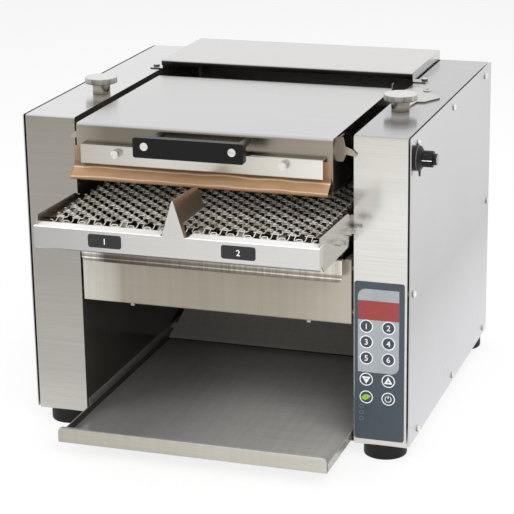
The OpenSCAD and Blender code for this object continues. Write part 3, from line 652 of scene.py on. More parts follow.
@dataclass(frozen=True)
class BrightMetal:
    """Turned or plated metal with fine turning lines and darker spots."""

    name: str
    colour: Colour
    worn: Colour
    rough: float = 0.22
    rim: Colour | None = None

    def material(self) -> Material:
        """Builds the finish: one metal colour, worn spots cut from noise, and painted shade as a darker rim
        where a head rounds.

        Returns:
            The material.
        """
        tree = Finish(self.name)
        spots = tree.marks(scale=60.0, level=0.6, softness=0.09)
        grain = tree.group(EFFECTS.grain, Lines=(500.0, 500.0, 500.0), Contrast=0.05)
        colour = tree.mix(spots, self.colour, self.worn)
        # Painted shade: a darker rim on the rounded faces of a head.
        if self.rim is not None:
            masks = tree.group(EFFECTS.faces)
            flat = masks["Up"]
            for way in ("Left", "Right", "Front"):
                flat = tree.math("MAXIMUM", flat, masks[way])
            colour = tree.mix(tree.span(flat, start=0.7), self.rim, colour)
        return tree.wear(Base_Color=tree.times(colour, grain["Tone"]), Metallic=1.0,
                         Roughness=tree.span(spots, self.rough, self.rough + 0.2),
                         Normal=tree.bump(grain["Height"], 0.08))


@dataclass(frozen=True)
class Moulded:
    """Moulded plastic, rubber, film or paint: a fine pebbled skin with a little dust on what looks up."""

    name: str
    colour: Colour
    rough: float = 0.45
    pebble: float = 1400.0
    depth: float = 0.1
    dust: float = 0.1
    specular: float = 0.5
    coat: float = 0.0
    under: Colour | None = None

    def material(self) -> Material:
        """Builds the finish: the colour with cloudy changes, dust by the Up mask, and a pebbled bump.

        ``under`` is a painted highlight: the colour of what looks down, standing for the pale floor's light
        on it.

        Returns:
            The material.
        """
        tree = Finish(self.name)
        darker = tuple(c * 0.93 for c in self.colour)
        cloud = tree.marks(scale=30.0, level=0.5, softness=0.25)
        colour = tree.mix(cloud, self.colour, darker)
        masks = tree.group(EFFECTS.faces)
        specks = tree.math("MULTIPLY", masks["Up"], tree.marks(scale=240.0, level=0.55, softness=0.2))
        colour = tree.mix(tree.math("MULTIPLY", specks, self.dust), colour, DUST)
        # Painted highlight on what looks down.
        if self.under is not None:
            colour = tree.mix(masks["Down"], colour, self.under)
        return tree.wear(Base_Color=colour, Roughness=tree.span(cloud, self.rough - 0.03, self.rough + 0.05),
                         Normal=tree.bump(tree.noise(self.pebble, detail=2.0), self.depth, distance=0.0002),
                         Specular_IOR_Level=self.specular, Coat_Weight=self.coat, Coat_Roughness=0.12)


def ink(name: str, colour: Colour) -> Material:
    """A printed colour: satin and free of dust."""
    return Moulded(name, colour, rough=0.4, dust=0.0).material()


@dataclass(frozen=True)
class BeltWire:
    """Hard-drawn wire that the heat has toasted in places."""

    name: str = "belt_wire"
    bright: Colour = (250, 248, 243)
    toasted: Colour = (206, 198, 182)
    metal: float = 0.8
    burnt: Colour = (112, 72, 44)

    def material(self) -> Material:
        """Builds the finish: bright wire, straw-coloured heat tint, then small brown baked-on spots.

        Returns:
            The material.
        """
        tree = Finish(self.name)
        burnt = tree.marks(scale=150.0, level=0.66, softness=0.035)
        tinted = tree.marks(scale=26.0, level=0.52, softness=0.14)
        colour = tree.mix(burnt, tree.mix(tinted, self.bright, self.toasted), self.burnt)
        grain = tree.group(EFFECTS.grain, Lines=(420.0, 420.0, 420.0), Contrast=0.06)
        return tree.wear(Base_Color=tree.times(colour, grain["Tone"]), Roughness=tree.span(burnt, 0.28, 0.6),
                         Metallic=tree.span(burnt, self.metal, 0.2))


@dataclass(frozen=True)
class CoatedCloth:
    """Non-stick coated glass cloth: tan, with a plain weave that follows the sheet's own UV map."""

    name: str = "release_cloth"
    pitch: float = 2.3
    baked: Colour = (140, 100, 66)
    # Painted light: bright lines on the roll's crest and nose, painted shade below the clamp and under the
    # roll.
    folds: Tones = graded(
        Axis.Z, (390.0, 96, 66, 42), (422.5, 112, 80, 52), (426.5, 130, 98, 67), (428.2, 142, 109, 77),
        (429.2, 206, 176, 144), (430.3, 152, 119, 86), (436.0, 160, 127, 92), (439.4, 166, 133, 98),
        (440.3, 230, 205, 178), (441.3, 168, 136, 104), (442.6, 112, 84, 58), (446.0, 102, 77, 53),
        (450.0, 136, 105, 76), (471.0, 146, 115, 86))

    def material(self) -> Material:
        """Builds the finish: the tan with painted highlight lines and painted shade in bands along the
        height, darkened where it is baked, and a bump of two crossed waves.

        Returns:
            The material.
        """
        tree = Finish(self.name)
        thread = tree.add("SeparateXYZ", Vector=tree.add("UVMap", {"uv_map": "cut"}).outputs[0]).outputs
        turns = 2 * math.pi / (self.pitch * MM)
        warp, weft = (tree.math("SINE", tree.math("MULTIPLY", thread[key], turns)) for key in "XY")
        weave = tree.math("MULTIPLY", warp, weft)
        baked = tree.math("MULTIPLY", tree.marks(scale=22.0, level=0.55, softness=0.2), 0.25)
        colour = tree.mix(baked, self.folds.colour(tree, wobble=1.6), self.baked)
        return tree.wear(Base_Color=tree.times(colour, tree.span(weave, 0.9, 1.08, start=-1.0)),
                         Roughness=0.34, Normal=tree.bump(weave, 0.35), Specular_IOR_Level=0.7)


# ---- The machine's sub-assemblies ----
def dress(finish: BrushedSteel | BrightMetal | Moulded, *nodes: str) -> Material:
    """Gives CAD nodes a finish.

    Args:
        finish: the finish.
        nodes: the nodes' names.

    Returns:
        The material that they wear.
    """
    material = finish.material()
    for name in nodes:
        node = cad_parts[name]
        if not node.material_slots:
            node.data.materials.append(material)
        for slot in node.material_slots:
            slot.material = material
        LOG.info("%s wears %s", name, material.name)
    return material


class Assembly:
    """A sub-assembly of the machine."""

    def build(self) -> None:
        """Adds the pieces that the CAD solids don't carry, where there are any."""

    def dress(self) -> None:
        """Finishes its CAD nodes."""


@dataclass
class ScrewHeads:
    """The pan heads on both side panels and on the rear cover's two tabs."""

    face_x: float = 304.5
    places: tuple[Point2, ...] = ((40, 488), (272.5, 488), (508, 488), (54, 36), (288.5, 36), (528, 36),
                                  (20.7, 263), (541, 263))
    tab: Point3 = (232, 378, 504.5)
    profile: tuple[Point2, ...] = ((5.0, -0.4), (5.3, 0.3), (5.3, 1.7), (4.7, 3.0), (3.3, 3.9), (1.5, 4.2),
                                   (1.3, 1.6))
    steps: int = 24

    def build(self) -> None:
        """Turns the profile once and sets a copy at each place, its axis along the face's outward normal."""
        a = np.linspace(0, 2 * math.pi, self.steps, endpoint=False)
        r, h = (np.array(part)[:, None] for part in zip(*self.profile))
        u, v, h = (r * np.cos(a)).ravel(), (r * np.sin(a)).ravel(), (h + 0 * a).ravel()
        heads = [np.c_[side * (self.face_x + h), y + side * u, z + v]
                 for side in (1, -1) for y, z in self.places]
        heads += [np.c_[side * self.tab[0] + u, self.tab[1] + v, self.tab[2] + h] for side in (-1, 1)]
        count, last = len(h), len(h) - self.steps
        one = quad_grid(len(self.profile), self.steps, closed=True).tolist()
        one += [list(range(self.steps))[::-1], list(range(last, count))]
        faces = [[i + k * count for i in face] for k in range(len(heads)) for face in one]
        add_piece("screw_heads", (np.concatenate(heads), faces), "base", self.material(),
                  stands_for=["panel_screws"])

    def material(self) -> Material:
        """Steel painted with shade at the foot of each head and a highlight on its crown, mirrored for the
        left side.

        Returns:
            The material.
        """
        crown = self.face_x + max(height for _, height in self.profile)
        # Painted shade and highlight along the head's axis: dark at its foot, light on its crown.
        dome = graded(Axis.X, (-4.6, 60, 57, 52), (-3.7, 112, 109, 104), (-2.9, 198, 196, 192),
                      (-1.2, 224, 223, 220), (0.0, 238, 237, 235), start=crown)
        left = tuple((-place, colour) for place, colour in reversed(dome.stops))
        tones = Tones(Axis.X, left + dome.stops)
        return BrushedSteel("screw_steel", tones, up=(214, 213, 210), metal=0.5).material()


@dataclass
class Cabinet(Assembly):
    """Towers, side panels, base, rear and the lower front panel."""

    # Painted shade: the dark tone of the towers' inner walls, which face the bay.
    inner_wall: Colour = (44, 40, 34)
    outer: Colour = (206, 205, 204)

    def build(self) -> None:
        """Adds the screws' heads; the sheets are the CAD solids."""
        ScrewHeads().build()

    def dress(self) -> None:
        """Finishes each sheet with the tones of its own faces, painted as light, shade and reflections on one
        steel.
        """
        # Painted reflections: each tower front grades with height; tops and outer sides are lit and shaded
        # copies of the same steel.
        left_front = graded(Axis.Z, (23, 196, 193, 188), (90, 174, 171, 164), (260, 156, 153, 146),
                            (420, 149, 145, 138), (503, 146, 141, 131))
        dress(BrushedSteel("steel_tower_left", left_front, up=(210, 210, 210), right=self.inner_wall,
                           left=(150, 147, 142), rough=0.17, contrast=0.045, metal_at=("Right", 0.25)),
              "tower_left")
        right_front = graded(Axis.Z, (23, 208, 207, 203), (270, 208, 206, 201), (380, 213, 212, 208),
                             (503, 197, 194, 186))
        dress(BrushedSteel("steel_tower_right", right_front, up=(168, 167, 169), right=(190, 189, 187),
                           left=self.inner_wall, rough=0.17, contrast=0.045, metal=0.75), "tower_right")
        # Painted reflections: bands of lighter and darker tone up the side panels.
        side = graded(Axis.Z, (23, 208, 208, 211), (130, 196, 196, 199), (240, 176, 175, 176),
                      (360, 191, 190, 191), (503, 202, 201, 202))
        dress(BrushedSteel("steel_side_panel", side, Axis.Z), "side_panel_left", "side_panel_right")
        dress(BrushedSteel("steel_rear", self.outer), "rear_panel")
        # Painted shade: the rear cover's front face, under its top edge, is near black.
        dress(BrushedSteel("steel_cover", (18, 16, 15), up=self.outer, right=self.outer, left=self.outer,
                           back=self.outer), "rear_cover")
        dress(BrushedSteel("steel_base", (150, 147, 142), metal=0.5), "base_pan", "tray_rails")
        # Painted light and shade: lighter at the left end, shaded across the middle, with upright bands of
        # painted sheen.
        panel = graded(Axis.X, (-215, 188, 185, 176), (-172, 178, 174, 164), (-150, 148, 142, 129),
                       (0, 148, 141, 126), (110, 152, 146, 131), (215, 170, 164, 151))
        dress(BrushedSteel("steel_lower_front", panel, metal=0.55, streaks=0.06), "lower_front_panel")
        dress(Moulded("foot_rubber", (14, 14, 15), rough=0.55, pebble=700.0, depth=0.2, dust=0.12,
                      specular=0.3), "feet")


@dataclass
class ReleaseSheet:
    """The coated cloth that hangs over the head's front edge and runs under the platen."""

    left: float
    right: float
    top: float
    platen_back: Point2
    front: float = -39.5
    roll_top: float = 447.0
    roll: tuple[Point2, ...] = ((-43.0, 441.5), (-53.0, 434.0), (-59.5, 428.5), (-60.6, 425.6),
                                (-57.5, 423.6), (-47.0, 422.9))
    platen_front: Point2 = (-36.0, 421.7)
    screw: Point2 = (130.0, 466.0)
    screw_gap: float = 4.2
    screw_reach: float = 2.5
    hang: Point2 = (430.0, 9.0)
    hang_gap: float = 0.5
    waves: tuple[Point3, ...] = ((0.9, 37.0, 0.6), (0.5, 17.0, 2.1), (0.3, 7.0, 0.0))
    lift: float = 0.35
    step: float = 2.5
    under_at: Point2 = (8.0, 10.0)
    under_rows: int = 24
    cell: float = 4.0
    thickness: float = 0.5

    @classmethod
    def of_frame(cls) -> "ReleaseSheet":
        """Takes the sheet's two sides, its top edge and its back edge from the CAD sheet's box."""
        low, high = DATUM.box("release_sheet")
        return cls(left=low[0], right=high[0], top=high[2], platen_back=(high[1], low[2] + 0.3))

    def profile(self) -> np.ndarray:
        """The sheet's line from the clamp over its soft roll to the platen's back.

        Control points are joined by straight lines, read every ``step`` millimetres, more coarsely under the
        platen, and evened out with a short running mean, which rounds the roll.

        Returns:
            Array of shape (n, 2): y and z.
        """
        knots = np.array([(self.front, self.top), (self.front, self.roll_top), *self.roll, self.platen_front,
                          self.platen_back])
        run = length_along(knots)
        fine_end, coarse_start = (run[-2] + past for past in self.under_at)
        at = np.r_[np.arange(0, fine_end, self.step), np.linspace(coarse_start, run[-1], self.under_rows)]
        line = np.c_[np.interp(at, run, knots[:, 0]), np.interp(at, run, knots[:, 1])]
        soft = line.copy()
        soft[1:-1] = (line[:-2] + 2 * line[1:-1] + line[2:]) / 4
        return soft

    def build(self, material: Material) -> None:
        """Makes the sheet: the profile carried along x, with shallow waves where it hangs free.

        The waves are sums of sines across the sheet, each with a height, a length and a shift. They fade as
        a bell curve above and below the middle of the free part, and fall out of the line forwards and down.

        Args:
            material: the cloth.
        """
        line = self.profile()
        across = np.linspace(self.left, self.right, int((self.right - self.left) / self.cell) + 1)
        run = length_along(line)
        middle, fade = self.hang
        free = np.exp(-(((line[:, 1] - middle) / fade) ** 2)) * (line[:, 0] < self.front - self.hang_gap)
        waves = sum(height * np.sin(across / length + shift) for height, length, shift in self.waves)
        y = line[:, 0][:, None] - free[:, None] * waves[None, :]
        z = line[:, 1][:, None] + self.lift * free[:, None] * waves[None, :]
        points = np.stack([np.broadcast_to(across, y.shape), y, z], -1).reshape(-1, 3)
        faces = quad_grid(len(line), len(across))
        at = points[faces].mean(1)
        near = np.hypot(np.abs(at[:, 0]) - self.screw[0], at[:, 2] - self.screw[1]) < self.screw_gap
        faces = faces[~(near & (at[:, 1] > self.front - self.screw_reach))]
        piece = add_piece("release_cloth", (points, faces.tolist()), "head", material,
                          stands_for=["release_sheet"])
        cut = np.stack([np.broadcast_to(across, y.shape), np.broadcast_to(run[:, None], y.shape)], -1)
        corners = np.empty(len(piece.data.loops), int)
        piece.data.loops.foreach_get("vertex_index", corners)
        layer = piece.data.uv_layers.new(name="cut")
        layer.data.foreach_set("uv", (cut.reshape(-1, 2) * MM)[corners].ravel())
        thick = piece.modifiers.new("thickness", "SOLIDIFY")
        thick.thickness = self.thickness * MM
        thick.offset = 0.0


def length_along(line: np.ndarray) -> np.ndarray:
    """How far each point of a line lies from its start, along the line."""
    return np.r_[0, np.cumsum(np.hypot(*np.diff(line, axis=0).T))]


@dataclass
class Head(Assembly):
    """The heated head: hood, clamp bar, handle, platen and element."""

    screw_x: float = 67.0
    screw_lift: float = 2.0
    bore_r: float = 6.3
    corner: float = 3.4
    rim: float = 2.2

    def build(self) -> None:
        """Adds the release sheet and the grip; the other pieces are the CAD solids."""
        ReleaseSheet.of_frame().build(CoatedCloth().material())
        # The grip's down-facing rims carry a painted highlight for the floor's light.
        black = Moulded("handle_black", (7, 7, 7), rough=0.32, dust=0.0, specular=0.22, under=(150, 150, 158))
        self.grip(black.material())

    def grip(self, material: Material) -> None:
        """Makes the grip: the CAD bar's own outline with a bore for each screw head, its rims rounded off.

        Args:
            material: its finish.
        """
        low, high = DATUM.box("handle_bar")
        middle = (low[2] + high[2]) / 2 + self.screw_lift
        bores = [circle(side * self.screw_x, middle, self.bore_r) for side in (-1, 1)]
        outline = round_box(low[0], low[2], high[0], high[2], self.corner)
        bar = sheet_outline([outline, *bores], high[1] - low[1])
        piece = add_piece("handle_grip", facing_front(bar, 0, high[1], 0), "head", material,
                          Edge.SHARP, ["handle_bar"])
        round_edges(piece, self.rim, segments=4, clamp=False)

    def dress(self) -> None:
        """Finishes the hood by face in painted light and shade, the black handle, the clamp in painted
        reflections and what lies under the hood.
        """
        # Painted reflections and shade: the hood's front grades across, its lid darkens into painted shadow
        # at the back, its sides are lit and shaded copies.
        front = graded(Axis.X, (-199, 150, 144, 132), (-150, 116, 109, 97), (-40, 122, 114, 101),
                       (120, 140, 132, 119), (199, 150, 143, 130))
        lid = graded(Axis.Y, (-39, 202, 201, 202), (160, 204, 203, 203), (284, 205, 204, 204),
                     (298, 184, 182, 180), (305, 130, 127, 124), (310, 70, 67, 64))
        dress(BrushedSteel("steel_hood", front, up=lid, right=(150, 147, 140), left=(120, 116, 110)),
              "head_housing")
        # Painted reflections along the clamp bar; its top is a shaded copy.
        clamp = graded(Axis.X, (-188, 184, 181, 172), (-60, 208, 205, 197), (60, 196, 192, 182),
                       (188, 228, 226, 220))
        dress(BrushedSteel("steel_clamp", clamp, up=(170, 166, 158)), "clamp_bar")
        # Their heads' rims are painted shade.
        dress(BrightMetal("clamp_screw_steel", (222, 221, 218), (176, 173, 168), rough=0.25,
                          rim=(120, 116, 108)), "clamp_screw_left", "clamp_screw_right", "handle_screws")
        dress(Moulded("post_black", (24, 23, 22), rough=0.3, dust=0.03), "handle_bar", "handle_posts")
        dress(BrushedSteel("platen_alloy", (130, 122, 108), rough=0.45, stain=(84, 58, 38)), "platen")
        dress(BrightMetal("element_oxide", (92, 84, 76), (60, 48, 40), rough=0.5),
              "upper_element", "lower_element")
        dress(BrushedSteel("steel_pointer", (164, 154, 138), Axis.Z, rough=0.25), "height_pointers")


@dataclass
class HeightControls(Assembly):
    """Adjusting knobs, lift frame and swinging lock plate; the CAD solids carry the knurl and threads."""

    def dress(self) -> None:
        """Polished knobs and a lock screw in painted light and shade, a lock plate with painted shade on its
        edges and a dull lift frame.
        """
        # Painted light and shade: the knobs' tones by height, with a dark band where the rim meets the neck
        # and a light top.
        knob = graded(Axis.Z, (-40, 120, 112, 100), (-24, 128, 119, 104), (-18, 176, 168, 156),
                      (-12, 150, 141, 128), (-9.6, 66, 58, 50), (-8.8, 112, 108, 102),
                      (-7.4, 164, 162, 158), (-1, 182, 180, 176), (0, 222, 221, 218),
                      start=DATUM.box("adjust_knob_left")[1][2])
        dress(BrushedSteel("knob_steel", knob, Axis.Z, up=(212, 211, 208), rough=0.2, contrast=0.12),
              "adjust_knob_left", "adjust_knob_right")
        # Painted shade on the lock plate's edges; its top is a lighter copy.
        dress(BrushedSteel("steel_lock", (120, 114, 104), Axis.Y, up=(196, 194, 190)), "lock_plate")
        # Painted shade and highlight: a dark ring at the screw head's foot and a light crown.
        dome = graded(Axis.Z, (-2.6, 46, 38, 28), (-1.9, 84, 72, 56), (-1.4, 196, 192, 186),
                      (-0.7, 226, 225, 222), (0.0, 120, 116, 110), start=DATUM.box("lock_screw")[1][2])
        dress(BrushedSteel("lock_screw_steel", dome), "lock_screw")
        dress(BrushedSteel("steel_lift", (120, 116, 110), Axis.Z, rough=0.4), "lift_frame")


@dataclass
class WireBelt:
    """The woven wire belt: strands bent into square waves whose narrow ends hook over the next strand."""

    half: float
    loop_r: float
    front_y: float
    back_y: float
    shaft_z: float
    wire: float = 1.7
    period: float = 25.4
    narrow: float = 8.9
    strands: int = 91
    hook: float = 2.0
    phase: float = 1.2
    bend: float = 1.9
    corner: float = 0.29
    waves: int = 21
    edge: float = 3.0
    rise: float = 2.2
    curl: tuple[Point3, ...] = ((2.1, 0.0, 0.0), (2.9, 0.9, -0.6), (2.6, 2.2, -1.6))
    jitter: float = 0.12
    jitter_up: float = 0.3
    seed: int = 11
    sides: int = 6
    top_run: tuple[int, int] = (-4, 43)

    @classmethod
    def of_frame(cls) -> "WireBelt":
        """Reads the CAD belt's box.

        Returns:
            The belt, with its width, its loop and the places of its two shafts.
        """
        low, high = DATUM.box("wire_belt")
        outer = (high[2] - low[2]) / 2
        return cls(half=(high[0] - low[0]) / 2, loop_r=outer - 1.0, front_y=low[1] + outer,
                   back_y=high[1] - outer, shaft_z=low[2] + outer)

    def run(self) -> float:
        """Length of one straight run."""
        return self.back_y - self.front_y

    def pitch(self) -> float:
        """Length of the loop from one strand to the next."""
        return 2 * (self.run() + math.pi * self.loop_r) / self.strands

    def on_loop(self, x: np.ndarray, s: np.ndarray, out: np.ndarray) -> tuple[np.ndarray, np.ndarray]:
        """Bends flat belt coordinates round the two shafts.

        A point runs straight along the top, turns by its length over the loop's radius round the back shaft,
        runs back along the bottom and turns round the front shaft; ``out`` is added along the outward normal.

        Args:
            x: places across the belt.
            s: lengths along the loop from above the front shaft.
            out: heights above the belt's middle.

        Returns:
            The points and the outward normals, each of shape (..., 3).
        """
        first, second = self.run(), self.run() + math.pi * self.loop_r
        third = second + self.run()
        s = np.mod(s, 2 * second)
        part = [s < first, s < second, s < third]
        turn = np.select(part, [0 * s, (s - first) / self.loop_r, 0 * s + math.pi],
                         math.pi + (s - third) / self.loop_r)
        straight = [self.front_y + s, 0 * s + self.back_y, self.back_y - (s - second)]
        centre = np.select(part, straight, self.front_y)
        normal = np.stack([0 * s, np.sin(turn), np.cos(turn)], -1)
        middle = np.stack([x, centre, 0 * s + self.shaft_z], -1)
        return middle + normal * (self.loop_r + out)[..., None], normal

    def strand(self, shift: float) -> np.ndarray:
        """One strand laid flat: a wave with round corners, high on its narrow side, curled at both ends.

        The corners of the wave stand at plus and minus half the narrow width in each period, at plus and
        minus the wave's reach. Each corner is replaced by three points on a quarter circle.

        Args:
            shift: how far the wave is moved across the belt.

        Returns:
            Array of shape (n, 3): x, length along the belt, height.
        """
        reach = (self.pitch() + self.hook) / 2
        first = (np.arange(self.waves) - self.waves // 2)[:, None] * self.period + shift
        x = (first + np.array([-1, -1, 1, 1]) * self.narrow / 2).ravel()
        s = np.tile([-reach, reach, reach, -reach], self.waves)
        into = np.tile([(-1, 0), (0, -1), (-1, 0), (0, 1)], (self.waves, 1)) * self.bend
        onto = np.tile([(0, 1), (1, 0), (0, -1), (1, 0)], (self.waves, 1)) * self.bend
        at = np.c_[x, s]
        rounded = np.stack([at + into, at + (into + onto) * self.corner, at + onto], 1).reshape(-1, 2)
        rounded = rounded[np.abs(rounded[:, 0]) < self.half - self.edge]
        line = np.c_[rounded, self.wire * 0.5 * np.tanh(rounded[:, 1] / self.rise)]
        curl = np.array(self.curl)
        return np.r_[line[0] + curl[::-1] * (-1, 1, 1), line, line[-1] + curl]

    def tube(self, lines: np.ndarray, rng: np.random.Generator) -> Shape:
        """Round wire along many strands at once.

        Each point gets a ring: the wire's radius times cosine along the belt's normal plus sine along the
        cross product of the strand's direction and that normal. Both ends are closed with one face.

        Args:
            lines: strands laid flat, shape (strands, points, 3).
            rng: source of the small shifts that no woven belt is without.

        Returns:
            Points and faces.
        """
        count, length, _ = lines.shape
        lines = lines + rng.normal(0, self.jitter, (count, 1, 3)) * (1, 1, self.jitter_up)
        points, normal = self.on_loop(lines[..., 0], lines[..., 1], lines[..., 2])
        along = np.gradient(points, axis=1)
        along /= np.linalg.norm(along, axis=-1, keepdims=True)
        up = normal - along * (normal * along).sum(-1, keepdims=True)
        up /= np.linalg.norm(up, axis=-1, keepdims=True)
        side = np.cross(along, up)
        a = np.linspace(0, 2 * math.pi, self.sides, endpoint=False)[:, None]
        spoke = np.cos(a) * up[:, :, None] + np.sin(a) * side[:, :, None]
        ring = points[:, :, None] + self.wire / 2 * spoke
        base = np.arange(count)[:, None] * length * self.sides
        quads = (quad_grid(length, self.sides, closed=True)[None] + base[..., None]).reshape(-1, 4)
        rim = np.arange(self.sides)
        caps = np.r_[base + rim[::-1], base + (length - 1) * self.sides + rim]
        return ring.reshape(-1, 3), quads.tolist() + caps.tolist()

    def build(self) -> None:
        """Makes the belt in two pieces that stand for the CAD belt: the nose with the top, and the rest,
        whose wire is painted dark as shade.
        """
        rng = np.random.default_rng(self.seed)
        first, last = self.top_run
        # The return run wears a darker copy of the wire: painted shade.
        under = BeltWire("belt_wire_under_shaded", (70, 64, 56), (52, 44, 36), metal=0.5)
        runs = (("wire_belt_top", first, last, BeltWire()),
                ("wire_belt_return", last, first + self.strands, under))
        for name, start, end, finish in runs:
            parts, faces, at = [], [], 0
            for parity in (0, 1):
                numbers = np.array([k for k in range(start, end) if k % 2 == parity])
                ahead = (numbers + 0.5) * self.pitch() + self.phase
                moved = np.c_[0 * numbers, ahead, 0 * numbers][:, None, :]
                ring, quads = self.tube(self.strand(parity * self.period / 2)[None] + moved, rng)
                faces += [[i + at for i in face] for face in quads]
                parts.append(ring)
                at += len(ring)
            add_piece(name, (np.concatenate(parts), faces), "base", finish.material(),
                      stands_for=["wire_belt"])


@dataclass
class Infeed(Assembly):
    """The infeed shelf: front plate, sides, lane divider and the two bare lane plates with plain numbers."""

    face: float = -167.0
    plate_z: Point2 = (356.0, 375.7)
    plate: float = 0.8
    corner: float = 3.5
    rim: float = 0.2
    ink: float = 0.1
    plates: tuple[tuple[float, float, str], ...] = ((-131.0, -80.0, "1"), (72.0, 123.0, "2"))

    def build(self) -> None:
        """Adds the two black plates with rounded rims, each with its number."""
        black = Moulded("plate_black", (20, 20, 21), rough=0.3, dust=0.0).material()
        white = ink("plate_ink", (232, 232, 230))
        z0, z1 = self.plate_z
        for x0, x1, number in self.plates:
            shape = sheet_outline([round_box(x0, z0, x1, z1, self.corner)], self.plate)
            plate = add_piece("lane_plate_" + number, facing_front(shape, 0, self.face, 0), "base",
                              black, Edge.SHARP)
            round_edges(plate, self.rim, segments=2)
            shape = text_outline(number, self.ink)
            digits = facing_front(shape, (x0 + x1) / 2, self.face - self.plate, (z0 + z1) / 2)
            add_piece("lane_number_" + number, digits, "base", white, Edge.SHARP)

    def dress(self) -> None:
        """Bright front plate, duller sides, a divider whose right face mirrors the dark mouth; their tones
        are painted light, shade and reflections.
        """
        # Painted reflections: the front plate grades lighter to the right, and its flange is painted near
        # white.
        face = graded(Axis.X, (-217, 165, 165, 164), (-130, 177, 176, 175), (-60, 193, 192, 189),
                      (217, 202, 201, 199))
        dress(BrushedSteel("steel_infeed", face, up=(236, 236, 235), metal=0.8, metal_at=("Up", 0.1)),
              "infeed_front")
        # Painted light and shade: the sides' faces and the divider's faces are lit and shaded copies of one
        # steel.
        dress(BrushedSteel("steel_infeed_side", (176, 170, 158), Axis.Y, right=(196, 193, 186),
                           left=(120, 112, 100), up=(150, 144, 134)), "infeed_side_left", "infeed_side_right")
        dress(BrushedSteel("steel_divider", (199, 197, 193), Axis.Z, left=(184, 182, 178),
                           right=(168, 146, 124), metal_at=("Right", 0.85)), "lane_divider")
        # The bolt heads' rims are painted shade.
        dress(BrightMetal("bolt_zinc", (214, 212, 206), (150, 146, 138), rough=0.3, rim=(90, 86, 80)),
              "infeed_bolts")
        dress(BrightMetal("bearing_bronze", (96, 78, 52), (64, 50, 34), rough=0.4), "shaft_bearings")


@dataclass
class Conveyor(Assembly):
    """The wire belt with its shafts, chain and motor."""

    def build(self) -> None:
        """Adds the woven belt."""
        WireBelt.of_frame().build()

    def dress(self) -> None:
        """Ground shafts, an oiled chain and a painted motor."""
        dress(BrightMetal("shaft_steel", (150, 147, 142), (84, 76, 66), rough=0.35),
              "drive_shaft", "idler_shaft", "motor_sprocket")
        dress(BrightMetal("chain_steel", (78, 74, 70), (44, 38, 32), rough=0.4), "drive_chain")
        dress(Moulded("motor_paint", (58, 60, 62), rough=0.5, dust=0.3), "gear_motor")


@dataclass
class Trays(Assembly):
    """Crumb tray, discharge tray and the curved return chute, whose bent sheets are the CAD solids."""

    wedge: tuple[Point2, ...] = ((-9.0, -0.7), (-0.1, -0.7), (-0.1, 1.45))

    def seam(self, material: Material) -> None:
        """Adds the chute's feathered front edge, a wedge that closes the step down to the discharge tray.

        Args:
            material: the chute's own.
        """
        low, high = DATUM.box("return_chute")
        points = np.array([(x, low[1] + y, low[2] + z) for x in (low[0], high[0]) for y, z in self.wedge])
        faces = [(0, 2, 1), (3, 4, 5), (0, 1, 4, 3), (0, 3, 5, 2), (1, 2, 5, 4)]
        add_piece("chute_edge", (points, faces), "base", material, Edge.SHARP)

    def dress(self) -> None:
        """Tones run from the lit front lips to the dark bay."""
        # Painted reflections: light and dark bands on the crumb tray's rolled lip, and strong upright grain
        # for the belt's mirrored loops.
        crumb = graded(Axis.Z, (0.0, 196, 192, 184), (0.8, 138, 132, 124), (4.6, 150, 144, 136),
                       (5.4, 240, 239, 236), (6.4, 240, 239, 236), (7.2, 140, 134, 126),
                       (11.0, 160, 155, 146), (13.0, 212, 208, 200), (40.0, 206, 202, 194),
                       start=DATUM.box("crumb_tray")[0][2])
        # Painted highlight: white at both ends of the crumb tray.
        ends = graded(Axis.X, (-207, 255, 255, 255), (-186, 255, 255, 255), (-168, 124, 119, 112),
                      (-100, 147, 142, 135), (0, 186, 182, 176), (207, 250, 248, 243))
        # Painted shade: the near-black floor under the belt; the brown spots are baked-on crumbs.
        dress(BrushedSteel("steel_crumb_tray", crumb, Axis.Z, up=(24, 20, 16), tint=ends, contrast=0.3,
                           stain=(20, 14, 9)), "crumb_tray")
        # Painted shade: the discharge floor darkens to the left, its right-facing faces are dark at the left
        # end, with upright bands of painted sheen.
        lip = graded(Axis.X, (-213, 162, 158, 146), (213, 180, 177, 168))
        side = graded(Axis.X, (-213, 44, 40, 35), (-200, 44, 40, 35), (200, 168, 163, 154),
                      (213, 168, 163, 154))
        floor = graded(Axis.X, (-213, 140, 139, 137), (-100, 156, 155, 153), (0, 186, 184, 181),
                       (213, 206, 204, 201))
        dress(BrushedSteel("steel_discharge", lip, up=floor, right=side, metal=0.45, metal_at=("Up", 0.3),
                           contrast=0.07, streaks=0.05), "discharge_tray")
        # Painted shade: the chute darkens towards its top, deep in the bay.
        chute = graded(Axis.Z, (30, 172, 164, 156), (120, 159, 149, 139), (300, 122, 112, 102))
        self.seam(dress(BrushedSteel("steel_chute", chute, up=(206, 203, 198), metal=0.3, contrast=0.06,
                                     streaks=0.05), "return_chute"))


